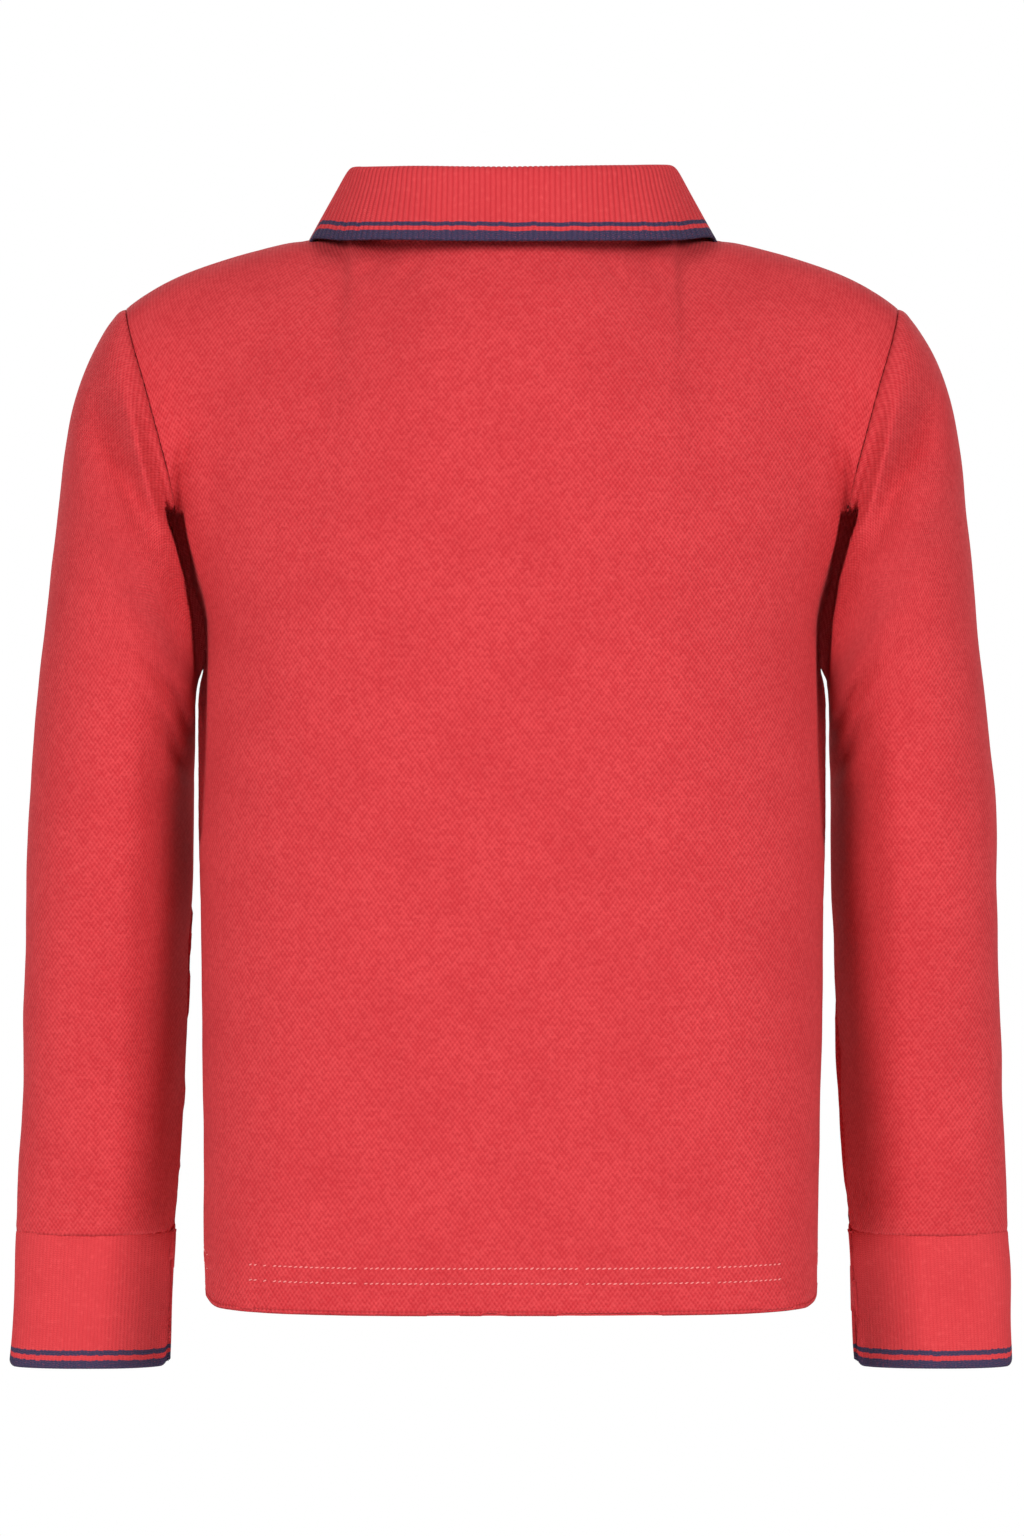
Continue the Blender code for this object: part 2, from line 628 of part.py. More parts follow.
def build():
    """Every piece of the shirt."""
    red = (0.60, 0.035, 0.045)
    rib_red = (0.62, 0.035, 0.045)
    button_red = (0.45, 0.02, 0.03)
    back = panel_grid(+1)
    front = panel_grid(-1)
    back[:-1, 1:-1] -= (grid_normals(back) * fold_heights("back", back))[:-1, 1:-1]
    front[:-1, 1:-1] += (grid_normals(front) * fold_heights("front", front))[:-1, 1:-1]
    loop = armhole_loop(back, front)
    sleeve = sleeve_grid(loop)
    sleeve_n = grid_normals(sleeve, closed=True)
    outwards = np.sign(np.sum(sleeve_n[:, :, 0] * (sleeve[:, :, 0] - sleeve[:, :, 0].mean())))
    sleeve[1:-1] += (outwards * sleeve_n * fold_heights("sleeve", sleeve))[1:-1]

    back_n = -grid_normals(back)
    front_n = grid_normals(front)
    sleeve_n = outwards * grid_normals(sleeve, closed=True)
    for column in (0, -1):
        share_edge(back_n[:, column], front_n[:, column])
    share_edge(back_n[-1], front_n[-1])
    joined = armhole_loop(back_n, front_n)
    share_edge(joined, sleeve_n[0])
    count = YOKE_BANDS + 1
    back_n[-count:, -1] = joined[:count]
    front_n[-count:, -1] = np.concatenate((joined[:1], joined[count:][::-1], joined[count - 1:count]))
    back_n[-count:, 0] = back_n[-count:, -1] * (-1, 1, 1)
    front_n[-count:, 0] = front_n[-count:, -1] * (-1, 1, 1)

    def outside_slot(i, j):
        return i < BODY_BANDS or j not in (HALF_COLUMNS - 1, HALF_COLUMNS)

    wall("back", back, back_n, 0.0, WALL, red, 0.85)
    wall("front", front, front_n, 0.0, WALL, red, 0.85, keep=outside_slot)
    wall("sleeve_left", sleeve, sleeve_n, 0.0, WALL, red, 0.85, closed=True)
    flip = np.array([-1.0, 1.0, 1.0])
    wall("sleeve_right", sleeve * flip, sleeve_n * flip, 0.0, WALL, red, 0.85, closed=True)

    ribbed_wall("collar", collar_section_maker(), COLLAR_RIBS, 10, False, rib_red, 0.9)
    for name, side in (("cuff_left", 1), ("cuff_right", -1)):
        ribbed_wall(name, cuff_section_maker(side), CUFF_RIBS, 9, True, rib_red, 0.9)

    under = strip_grid(SLOT_HALF - SEAM_GAP, 2, *PLACKET_UNDER_RISES, PLACKET_BANDS)
    wall("placket_under", under, grid_normals(under), 0.0, WALL, red, 0.85)
    over = strip_grid(PLACKET_HALF, 4, *PLACKET_TOP_RISES, PLACKET_BANDS)
    lift = LAYER_GAP + PLACKET_WALL
    wall("placket_top", over, grid_normals(over), lift, PLACKET_WALL, red, 0.85)
    for number, rise in enumerate(BUTTON_FRACTIONS, start=1):
        button(f"button_{number}", rise, button_red)


for old in list(bpy.data.objects):
    bpy.data.objects.remove(old)
build()
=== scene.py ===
# %% [markdown]
# # A long-sleeve polo shirt, filled out and hollow
# The shirt hangs as it does on a wearer who isn't there: back and front panels, two
# set-in sleeves, a folded rib collar, rib cuffs, a placket and two buttons. The packed
# model gives every piece its place and its form. This script lays thin cloth on those
# forms, presses the creases in and gives each cloth its knit.

# %% The imported model
import bmesh
import bpy
import numpy as np
from mathutils import Matrix, Vector


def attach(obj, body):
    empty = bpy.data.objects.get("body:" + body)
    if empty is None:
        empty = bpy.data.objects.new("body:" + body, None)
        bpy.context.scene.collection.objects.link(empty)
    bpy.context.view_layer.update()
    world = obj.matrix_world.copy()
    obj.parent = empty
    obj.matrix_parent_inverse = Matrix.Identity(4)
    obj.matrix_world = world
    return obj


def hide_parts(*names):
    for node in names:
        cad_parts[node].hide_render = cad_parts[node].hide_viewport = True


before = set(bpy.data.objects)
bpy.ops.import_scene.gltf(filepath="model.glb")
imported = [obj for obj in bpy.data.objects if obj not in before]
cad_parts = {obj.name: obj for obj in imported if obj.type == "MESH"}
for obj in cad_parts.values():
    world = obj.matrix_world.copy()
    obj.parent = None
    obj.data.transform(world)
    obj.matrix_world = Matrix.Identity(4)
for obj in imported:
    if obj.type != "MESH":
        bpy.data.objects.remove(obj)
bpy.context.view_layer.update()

MM = 0.001


def placed(name, data):
    """A mesh, lamp or camera as an object of the scene."""
    thing = bpy.data.objects.new(name, data)
    bpy.context.scene.collection.objects.link(thing)
    return thing


# %% [markdown]
# ## The camera
# The picture shows the back from 2.5 m away, a little from above, through a long lens.
# A pixel of it is 0.42 mm at the middle of the shirt. The lens follows from that, so
# the shirt comes out at its true size, and the same numbers tell where any point of
# the shirt shows in the picture, which places the creases further on.

# %% Camera
EYE = np.array((0.0, 2.5, -0.110))
AIM = np.array((0.0, 0.0, -0.226))
PICTURE = (1024, 1536)
PIXEL = 0.42 * MM
SENSOR = 36.0

look = (AIM - EYE) / np.linalg.norm(AIM - EYE)
rightward = np.cross(look, (0.0, 0.0, 1.0))
rightward /= np.linalg.norm(rightward)
upward = np.cross(rightward, look)
focal_pixels = np.linalg.norm(AIM - EYE) / PIXEL

camera_data = bpy.data.cameras.new("camera")
camera_data.sensor_width = SENSOR
camera_data.lens = SENSOR * focal_pixels / PICTURE[1]
camera = placed("camera", camera_data)
camera.location = EYE
camera.rotation_euler = Vector(look).to_track_quat("-Z", "Y").to_euler()
bpy.context.scene.camera = camera
print(f"lens {camera_data.lens:.1f} mm")


def seen(points, behind=True):
    """Where points show in the picture; those in front as if the shirt were turned."""
    turned = points * (1, 1 if behind else -1, 1)
    away = turned - EYE
    scale = focal_pixels / (away @ look)
    middle = np.array(PICTURE) / 2
    return np.stack((middle[0] + away @ rightward * scale,
                     middle[1] - away @ upward * scale), axis=-1)


# %% [markdown]
# ## A plain studio
# The picture has an even white ground and soft light from all round, a little stronger
# from the camera's side and from above. A white sky lights the shirt from all round, a
# pale floor throws light back from below, and large lamps, two behind the shirt and two
# in front, give the cloth its form. Only the camera sees the sky as bright as paper.

# %% Floor and light
FLOOR_Z = -0.92
FLOOR_RADIUS = 1.9
GROUND = 1.0
SKY = 0.21
LAMPS = (
    # place, width, watts
    ((1.45, 1.95, 0.85), 1.2, 40.0),
    ((-1.45, 1.95, 0.85), 1.2, 40.0),
    ((0.85, -2.30, 0.80), 1.2, 24.0),
    ((-0.85, -2.30, 0.80), 1.2, 24.0),
)

world = bpy.data.worlds.new("studio")
bpy.context.scene.world = world
world.use_nodes = True
sky = world.node_tree.nodes["Background"]
sky.inputs["Color"].default_value = (1.0, 1.0, 1.0, 1.0)
rays = world.node_tree.nodes.new("ShaderNodeLightPath")
strength = world.node_tree.nodes.new("ShaderNodeMapRange")
strength.inputs["To Min"].default_value = SKY
strength.inputs["To Max"].default_value = GROUND
world.node_tree.links.new(rays.outputs["Is Camera Ray"], strength.inputs["Value"])
world.node_tree.links.new(strength.outputs["Result"], sky.inputs["Strength"])

shape = bmesh.new()
bmesh.ops.create_circle(shape, cap_ends=True, segments=64, radius=FLOOR_RADIUS,
                        matrix=Matrix.Translation((0.0, 0.0, FLOOR_Z)))
floor_mesh = bpy.data.meshes.new("floor")
shape.to_mesh(floor_mesh)
shape.free()
floor = placed("floor", floor_mesh)

for number, (place, size, watts) in enumerate(LAMPS, start=1):
    lamp_data = bpy.data.lights.new(f"lamp_{number}", "AREA")
    lamp_data.shape = "DISK"
    lamp_data.size = size
    lamp_data.energy = watts
    lamp = placed(f"lamp_{number}", lamp_data)
    lamp.location = place
    lamp.rotation_euler = (Vector(AIM) - Vector(place)).to_track_quat("-Z", "Y").to_euler()
bpy.context.scene.view_settings.view_transform = "Standard"
print(len(LAMPS), "lamps, sky", SKY)

# %% [markdown]
# ## Shader maths as plain expressions
# A material's nodes can be wired by hand in the editor. In a script it reads better to
# write sums: the small class below wraps a node's output, and each operator on it adds
# one Math node. All other nodes come from one method, with settings before inputs.

# %% Sums of sockets
class Value:
    """An output of a node, used like a number."""

    def __init__(self, finish, socket):
        self.finish = finish
        self.socket = socket

    def maths(self, operation, *others, first=None):
        values = (self, *others) if first is None else (first, self)
        return self.finish.node("ShaderNodeMath", {"operation": operation},
                                dict(enumerate(values)))

    def __add__(self, other):
        return self.maths("ADD", other)

    def __sub__(self, other):
        return self.maths("SUBTRACT", other)

    def __mul__(self, other):
        return self.maths("MULTIPLY", other)

    def __truediv__(self, other):
        return self.maths("DIVIDE", other)

    def __pow__(self, other):
        return self.maths("POWER", other)

    def __radd__(self, other):
        return self.maths("ADD", first=other)

    def __rsub__(self, other):
        return self.maths("SUBTRACT", first=other)

    def __abs__(self):
        return self.maths("ABSOLUTE")

    def floor(self):
        return self.maths("FLOOR")

    def cosine(self):
        return self.maths("COSINE")

    def fade(self, start, end):
        """0 at start, 1 at end, soft between them."""
        return self.finish.node("ShaderNodeMapRange", {"interpolation_type": "SMOOTHSTEP"},
                                {"Value": self, "From Min": start, "From Max": end})


class Finish:
    """A material, and short ways to add to it."""

    def __init__(self, name, **constants):
        self.material = bpy.data.materials.new(name)
        self.material.use_nodes = True
        self.tree = self.material.node_tree
        self.shader = self.tree.nodes["Principled BSDF"]
        for socket, value in constants.items():
            self.shader.inputs[socket.replace("_", " ")].default_value = value

    def feed(self, socket, value):
        if isinstance(value, Value):
            self.tree.links.new(value.socket, socket)
        else:
            socket.default_value = value

    def node(self, kind, settings=None, inputs=None, output=0):
        made = self.tree.nodes.new(kind)
        for name, value in (settings or {}).items():
            setattr(made, name, value)
        for name, value in (inputs or {}).items():
            self.feed(made.inputs[name], value)
        return Value(self, made.outputs[output])

    def mix(self, share, first, second):
        return self.node("ShaderNodeMix", {"data_type": "RGBA"}, {0: share, 6: first, 7: second}, 2)

    def noise(self, place, size, detail=2.0, rough=0.5):
        return self.node("ShaderNodeTexNoise", None, {
            "Vector": place, "Scale": 1 / size, "Detail": detail, "Roughness": rough})

    def dots(self, place):
        """A different even grey for each whole-numbered place."""
        return self.node("ShaderNodeTexWhiteNoise", {"noise_dimensions": "2D"}, {"Vector": place})

    def point(self, across, along):
        return self.node("ShaderNodeCombineXYZ", None, {0: across, 1: along})

    def cloth_place(self):
        """The place in the cloth: metres across and metres up, from its own UV map."""
        place = self.node("ShaderNodeUVMap", {"uv_map": "cloth"})
        split = self.tree.nodes.new("ShaderNodeSeparateXYZ")
        self.feed(split.inputs[0], place)
        return place, Value(self, split.outputs[0]), Value(self, split.outputs[1])

    def object_place(self):
        return self.node("ShaderNodeTexCoord", output="Object")

    def bump(self, height, depth, strength=1.0):
        return self.node("ShaderNodeBump", None,
                         {"Strength": strength, "Distance": depth, "Height": height})

    def finish(self, **links):
        for socket, value in links.items():
            self.feed(self.shader.inputs[socket.replace("_", " ")], value)
        return self.material


def linear(red, green, blue):
    """A colour given as it shows on screen, 0 to 255, turned into light."""
    parts = [part / 255 for part in (red, green, blue)]
    return (*[p / 12.92 if p <= 0.04045 else ((p + 0.055) / 1.055) ** 2.4 for p in parts], 1.0)


floor_finish = Finish("pale_floor", Roughness=0.9, Emission_Color=(1.0, 1.0, 1.0, 1.0),
                      Emission_Strength=0.3)
floor_speckle = floor_finish.noise(floor_finish.object_place(), 0.9)
floor_mesh.materials.append(floor_finish.finish(
    Base_Color=floor_finish.mix(floor_speckle, (0.93, 0.93, 0.93, 1.0), (0.96, 0.96, 0.96, 1.0))))
print("studio ready")

# %% [markdown]
# ## Pique
# The body and the sleeves are cotton pique, a knit with small raised cells in
# staggered rows, 1.9 mm wide and 1.3 mm high. A product of two waves makes staggered
# cells. Each cell differs a little, the yarn is uneven over a few millimetres, and the
# dye is uneven over a few centimetres. The colour is painted lighter where cells and
# yarn stand up and darker in their hollows, as painted shade. The fibres' fuzz is a
# weak, wide sheen.

# %% Pique
CELL_WIDTH = 1.9 * MM
CELL_HEIGHT = 1.3 * MM
RED = linear(206, 54, 61)
RED_DEEP = linear(168, 26, 36)
RED_PALE = linear(226, 84, 86)


def pique():
    cloth = Finish("pique", Roughness=0.86, Sheen_Weight=0.04, Sheen_Roughness=0.5,
                   Specular_IOR_Level=0.08)
    place, across, along = cloth.cloth_place()
    uneven = cloth.noise(place, 2.6 * MM, 3.0) - 0.5
    u = (across + uneven * (0.35 * MM)) / CELL_WIDTH
    v = (along + uneven * (0.25 * MM)) / CELL_HEIGHT
    cells = (u * (2 * np.pi)).cosine() * (v * np.pi).cosine()
    row = v.floor()
    own = cloth.dots(cloth.point((u + row * 0.5).floor(), row)) - 0.5
    yarn = cloth.noise(place, 0.55 * MM) - 0.5
    height = cells * 0.5 + own * 0.35 + yarn * 0.7
    patches = cloth.noise(place, 34 * MM)
    flecks = cloth.noise(place, 3.2 * MM)
    # Painted shade: lighter where cells and yarn stand up, darker in the hollows, plus each cell's
    # own random tone.
    tone_and_hollow_shade = 0.5 + cells * 0.24 + own * 0.22 + yarn * 0.5
    colour = cloth.mix(tone_and_hollow_shade.fade(0.0, 1.0), RED_DEEP, RED_PALE)
    colour = cloth.mix(0.42, colour, RED)
    colour = cloth.mix(patches.fade(0.35, 0.75) * 0.16, colour, RED_DEEP)
    colour = cloth.mix(flecks.fade(0.60, 0.80) * 0.28, colour, RED_PALE)
    return cloth.finish(Base_Color=colour, Normal=cloth.bump(height, 0.26 * MM),
                        Roughness=0.9 - flecks * 0.12)


pique_cloth = pique()
print("pique cells", CELL_WIDTH / MM, "by", CELL_HEIGHT / MM, "mm")

# %% [markdown]
# ## Rib with contrast tipping
# Collar and cuffs are flat-knit rib. Its ribs are real form, made further on. The
# finish adds the small stitches that climb each rib, painted lighter where they stand
# up, painted shade in the grooves between the ribs, and near the free edge the
# knitted-in tipping: a dark blue edge, a thin red line and a thin dark blue line.
# Knitted lines aren't ruled, so each rib carries them a little higher or lower.

# %% Rib
RIB_RED = linear(216, 62, 68)
NAVY = linear(72, 66, 94)
NAVY_DEEP = linear(46, 40, 66)
STITCH = 0.95 * MM
BAND_SOFT = 0.18 * MM


def rib(name, pitch, bands, groove_shade):
    """bands: where the edge's blue ends, where the red line ends, where the blue line ends."""
    cloth = Finish(name, Roughness=0.88, Sheen_Weight=0.04, Sheen_Roughness=0.5,
                   Specular_IOR_Level=0.08)
    place, across, along = cloth.cloth_place()
    u = across / pitch
    wale = (u + 0.5).floor()
    groove = ((u * (2 * np.pi)).cosine() * 0.5 + 0.5) ** 3.0
    own = cloth.dots(cloth.point(wale, 1.0)) - 0.5
    yarn = cloth.noise(place, 0.5 * MM) - 0.5
    half = abs(u - u.floor() - 0.5)
    stitches = ((along / STITCH + half * 0.9 + own) * (2 * np.pi)).cosine()
    height = stitches * 0.22 + yarn * 0.6
    flecks = cloth.noise(place, 2.4 * MM)
    patches = cloth.noise(place, 22 * MM)
    # Painted shade: the red is lighter where stitches and yarn stand up and darker between them.
    colour = cloth.mix((0.5 + stitches * 0.10 + yarn * 0.5).fade(0.0, 1.0), RED_DEEP, RED_PALE)
    colour = cloth.mix(0.4, colour, RIB_RED)
    colour = cloth.mix(flecks.fade(0.50, 0.78) * 0.36, colour, RED_PALE)
    colour = cloth.mix(patches.fade(0.40, 0.80) * 0.14, colour, RED_DEEP)
    # Painted shade: the blue is lighter where stitches and yarn stand up and darker between them.
    blue = cloth.mix((0.5 + stitches * 0.2 + yarn * 0.8).fade(0.0, 1.0), NAVY_DEEP, NAVY)
    wander = (cloth.noise(place, 26 * MM, 1.0) - 0.5) * (0.9 * MM)
    edge = along + own * (0.45 * MM) + wander + yarn * (0.3 * MM) - half * (0.35 * MM)
    past = [edge.fade(band - BAND_SOFT, band + BAND_SOFT) for band in bands]
    dyed = (1 - past[2]) * (1 - past[0] * (1 - past[1]))
    dyed = dyed * (1 - yarn.fade(0.05, 0.30) * 0.45)
    colour = cloth.mix(dyed, colour, blue)
    # Painted shade: each groove between the ribs is darkened towards deep red or deep blue.
    colour = cloth.mix(groove * groove_shade, colour, cloth.mix(dyed, RED_DEEP, NAVY_DEEP))
    return cloth.finish(Base_Color=colour, Normal=cloth.bump(height, 0.18 * MM, 0.8),
                        Roughness=0.92 - flecks * 0.1)


COLLAR_PITCH = 2.0 * MM
CUFF_PITCH = 1.39 * MM
collar_rib = rib("collar_rib", COLLAR_PITCH, (4.0 * MM, 5.9 * MM, 7.8 * MM), 0.45)
cuff_rib = rib("cuff_rib", CUFF_PITCH, (3.5 * MM, 5.6 * MM, 7.8 * MM), 0.18)
print("ribs", COLLAR_PITCH / MM, "and", CUFF_PITCH / MM, "mm apart")

# %% [markdown]
# ## Thread and buttons
# Sewing thread is a twisted ply with a little more gloss than the cloth. Around the
# hem it is painted a paler pink, a painted highlight for the thread's sheen. The
# buttons are dyed to match the shirt and half glossy, with a faint swirl in the plastic.

# %% Thread and button
def thread(name, light, dark):
    yarn = Finish(name, Roughness=0.6, Sheen_Weight=0.1, Specular_IOR_Level=0.35)
    place = yarn.object_place()
    twist = yarn.noise(place, 0.35 * MM, 1.0)
    # Painted shade: the thread goes from its dark to its light colour with the same twist that
    # bumps it.
    return yarn.finish(Base_Color=yarn.mix(twist, dark, light),
                       Normal=yarn.bump(twist, 0.1 * MM, 0.6))


# Painted highlight: the hem thread is a paler pink than the cloth, which stands in for the thread's
# sheen.
hem_thread_painted_sheen = thread("hem_thread_painted_sheen", linear(244, 160, 156), linear(226, 112, 112))
seam_thread = thread("seam_thread", linear(206, 60, 66), linear(160, 26, 36))

plastic = Finish("button_plastic", Roughness=0.32, Specular_IOR_Level=0.5, Coat_Weight=0.25)
swirl = plastic.noise(plastic.object_place(), 2.2 * MM, 4.0, 0.6)
button_plastic = plastic.finish(
    Base_Color=plastic.mix(swirl.fade(0.3, 0.7), linear(120, 14, 24), linear(168, 30, 40)),
    Roughness=0.28 + swirl * 0.12)
print("finishes:", [m.name for m in bpy.data.materials][-5:])

# %% [markdown]
# ## Reading a wall's outer face
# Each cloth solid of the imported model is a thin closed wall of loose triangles. Its
# points were laid out in rows and columns, like graph paper. A merged copy is made,
# the plain inside is found by spreading over it until the surface turns a corner, and
# what doesn't touch it is the outer face. That face is then read strip by strip: two
# triangles between two known points of a row give the next point above.

# %% A wall as a net of points
CORNER = np.cos(np.radians(62.0))
TURNED_AWAY = -0.8
EDGE_FACE = 2.2 * MM


def height_of(face):
    """The least height of a triangle: the faces along a wall's thin edge are low."""
    return 2 * face.calc_area() / max(side.calc_length() for side in face.edges)


def outer_face(bm, facing, thin):
    """The triangles of a wall's outer face; its inside is plain and ends at corners."""
    facing = Vector(facing)
    towards = [f for f in bm.faces if f.normal.dot(facing) < TURNED_AWAY]
    start = max(towards, key=lambda f: f.calc_center_median().dot(facing))
    inside, edge = {start}, [start]
    while edge:
        face = edge.pop()
        for side in face.edges:
            for other in side.link_faces:
                turned = other.normal.dot(face.normal) < CORNER
                if other not in inside and not turned and height_of(other) > thin:
                    inside.add(other)
                    edge.append(other)
    lining = {v for f in inside for v in f.verts}
    return [f for f in bm.faces if not any(v in lining for v in f.verts)]


def rows_of(node, facing, corner, heading, columns, closed=False, thin=EDGE_FACE):
    """Rows of vertices of a node's outer face, from the row through a corner upwards."""
    bm = bmesh.new()
    bm.from_mesh(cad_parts[node].data)
    bmesh.ops.remove_doubles(bm, verts=bm.verts, dist=1e-6)
    bm.normal_update()
    skin = outer_face(bm, facing, thin)
    members = {v for f in skin for v in f.verts}
    faces_on, rim = {}, {}
    for face in skin:
        for side in face.edges:
            faces_on.setdefault(frozenset(side.verts), []).append(face)
    for side, faces in faces_on.items():
        if len(faces) == 1:
            for a, b in (tuple(side), tuple(side)[::-1]):
                rim.setdefault(a, []).append(b)
    first = max(rim, key=lambda v: v.co.dot(Vector(corner)))
    row = [first, max(rim[first], key=lambda v: (v.co - first.co).dot(Vector(heading)))]
    while len(row) < columns:
        row.append(next(v for v in rim[row[-1]] if v is not row[-2]))
    used, known, rows = set(), set(row), [row]

    def waiting(a, b):
        return [f for f in faces_on.get(frozenset((a, b)), ()) if f not in used]

    def third(a, b):
        """The corner across the next unused triangle on the edge between a and b."""
        face = waiting(a, b)[0]
        used.add(face)
        return next(v for v in face.verts if v is not a and v is not b)

    while True:
        row = rows[-1]
        near = [e.other_vert(row[0]) for e in row[0].link_edges] if closed else rim[row[0]]
        near = [v for v in near if v in members and v not in known]
        if not near or not waiting(row[0], row[1]):
            break
        above = [min(near, key=lambda v: (v.co - row[0].co).length)]
        for a, b in zip(row, row[1:] + (row[:1] if closed else [])):
            if not waiting(a, b):
                break
            left, right = above[-1], third(a, b)
            if right is left:
                right = third(left, b)
            else:
                third(a, right)
            above.append(right)
        if closed:
            above.pop()
        rows.append(above)
        known.update(above)
    rows = [[(np.array(v.co), np.array(v.normal)) for v in row] for row in rows]
    bm.free()
    return rows


def net(node, facing, corner, heading, columns, closed=False, thin=EDGE_FACE):
    """The same as one array of points, whose columns run so that the cloth faces outwards."""
    both = np.array(rows_of(node, facing, corner, heading, columns, closed, thin))
    points, outwards = both[:, :, 0], both[:, :, 1]
    if np.sum(np.cross(np.gradient(points, axis=1), np.gradient(points, axis=0)) * outwards) < 0:
        points = points[:, ::-1]
    print(f"{node}: {points.shape[0]} rows of {points.shape[1]}")
    return points


# %% [markdown]
# ## Smooth cloth through the net
# The nets are coarse. A smooth curve that passes through every point of a row, and
# then through every row, gives as many points as wanted, and the shirt keeps the
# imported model's form exactly. The curves are cubic, with no kink where two meet.

# %% Smooth curves
def curve_weights(knots, at):
    """Weights that turn values at the knots into a smooth curve's values elsewhere."""
    n = len(knots)
    at = np.clip(at, knots[0], knots[-1])
    step = np.diff(knots)
    left = np.clip(np.searchsorted(knots, at, side="right") - 1, 0, n - 2)
    h = step[left]
    a = (knots[left + 1] - at) / h
    b = 1 - a
    weights = np.zeros((len(at), n))
    line = np.arange(len(at))
    weights[line, left] += a
    weights[line, left + 1] += b
    if n > 3:
        bends, values = np.zeros((n, n)), np.zeros((n, n))
        for i in range(1, n - 1):
            bends[i, i - 1:i + 2] = step[i - 1] / 6, (step[i - 1] + step[i]) / 3, step[i] / 6
            values[i, i - 1:i + 2] = 1 / step[i - 1], -1 / step[i - 1] - 1 / step[i], 1 / step[i]
        bends[0, :3] = step[1], -step[0] - step[1], step[0]
        bends[-1, -3:] = step[-1], -step[-1] - step[-2], step[-2]
        bent = np.linalg.solve(bends, values)
        weights += ((a ** 3 - a) * h ** 2 / 6)[:, None] * bent[left]
        weights += ((b ** 3 - b) * h ** 2 / 6)[:, None] * bent[left + 1]
    return weights


def run_of(points, axis):
    """Mean distance travelled along an axis of a net, at each of its lines."""
    steps = np.linalg.norm(np.diff(points, axis=axis), axis=2).mean(axis=1 - axis)
    return np.concatenate(([0.0], np.cumsum(steps)))


def even(start, end, step):
    """Places from start up to end, without the end, about a step apart."""
    count = max(1, int(round((end - start) / step)))
    return np.linspace(start, end, count, endpoint=False)


def places(length, step, start=True):
    """Places along a length: even steps, closer near the end and, if asked, the start."""
    near = np.array((0.5, 1.2, 2.2)) * MM
    begin = near[-1] if start else 0.0
    return np.concatenate((np.append(0.0, near[:-1]) if start else [],
                           even(begin, length - near[-1], step), length - near[::-1], [length]))


def laid(points, rows_at, columns_at):
    """The net's surface at the given places along its rows and columns."""
    up = curve_weights(run_of(points, 0), rows_at)
    across = curve_weights(run_of(points, 1), columns_at)
    return np.einsum("ri,ijk,cj->rck", up, points, across)


def laid_round(points, rows_at, count):
    """The same for a tube, with a count of even columns; the last one repeats the first."""
    wrap = 4
    wide = np.concatenate((points[:, -wrap:], points, points[:, :wrap + 1]), axis=1)
    knots = run_of(wide, 1)
    share = np.arange(count + 1) / count * points.shape[1]
    at = np.interp(share + wrap, np.arange(len(knots)), knots)
    up = curve_weights(run_of(points, 0), rows_at)
    return np.einsum("ri,ijk,cj->rck", up, wide, curve_weights(knots, at))


UP = np.array((0.0, 0.0, 1.0))


def normals_of(points, closed=False):
    """Unit directions out of the cloth at each point."""
    if closed:
        points = np.concatenate((points[:, -2:-1], points, points[:, 1:2]), axis=1)
    out = np.cross(np.gradient(points, axis=1), np.gradient(points, axis=0))
    if closed:
        out = out[:, 1:-1]
    return out / np.maximum(np.linalg.norm(out, axis=2, keepdims=True), 1e-12)


def travelled(points, axis, origin=0):
    """Distance along each line of the net from its line number origin."""
    steps = np.linalg.norm(np.diff(points, axis=axis), axis=2)
    zero = np.zeros((1, points.shape[1]) if axis == 0 else (points.shape[0], 1))
    run = np.concatenate((zero, np.cumsum(steps, axis=axis)), axis=axis)
    return run - np.take(run, [origin], axis=axis)


# %% [markdown]
# ## Creases
# A crease is a soft trough with a low lip beside it. Each is drawn as a line of the
# picture, with heights along it and a width. The same lines, mirrored, serve the other
# half. Each is pressed straight along the eye's way, so that no outline changes and the
# pieces still meet at their seams. Cloth is never quite still between the creases
# either, so a slow, shallow drift goes over every panel.

# %% Creases
CREASE_REACH, LIP_PLACE, LIP_WIDTH = 3.6, 1.7, 0.9   # in half widths of the crease
FACING_SLOPE, FACING_START = 3.0, 0.6


def nearest_on_line(at, line):
    """Distance from a line of the picture, share of the way along it, and the side."""
    line = np.array(line, float)
    spans = np.diff(line, axis=0)
    lengths = np.linalg.norm(spans, axis=1)
    begin = np.concatenate(([0.0], np.cumsum(lengths)))
    best = np.full(at.shape[:-1], np.inf)
    along, side = np.zeros_like(best), np.zeros_like(best)
    for k, span in enumerate(spans):
        offset = at - line[k]
        share = np.clip(offset @ span / lengths[k] ** 2, 0.0, 1.0)
        gap = offset - share[..., None] * span
        distance = np.linalg.norm(gap, axis=-1)
        closer = distance < best
        best = np.where(closer, distance, best)
        along = np.where(closer, (begin[k] + share * lengths[k]) / begin[-1], along)
        side = np.where(closer, span[0] * gap[..., 1] - span[1] * gap[..., 0], side)
    return best, along, np.sign(side)


def bell(off, width):
    """1 where off is nought, softly falling to nothing some widths away."""
    return np.exp(-(off / width) ** 2)


def read_off(table, at):
    """A table's value at a place, with even steps between its entries."""
    return np.interp(at, *np.array(table).T)


def ends_of(values):
    """The least and the greatest value of each row."""
    return [pick(values, axis=1, keepdims=True) for pick in (np.min, np.max)]


def side_place(at):
    """Place across the picture, counted from its nearer edge."""
    return PICTURE[0] / 2 - np.abs(at[..., 0] - PICTURE[0] / 2)


def soft_excess(over, soft):
    """What is over a limit, growing softly from nothing."""
    over = over / soft
    return soft * np.where(over > 8, over, np.log1p(np.exp(np.minimum(over, 8))))


def towards_eye(points, behind):
    """Unit directions from points to the eye, or to its mirror image in front."""
    way = EYE * (1, 1 if behind else -1, 1) - points
    return way / np.linalg.norm(way, axis=-1, keepdims=True)


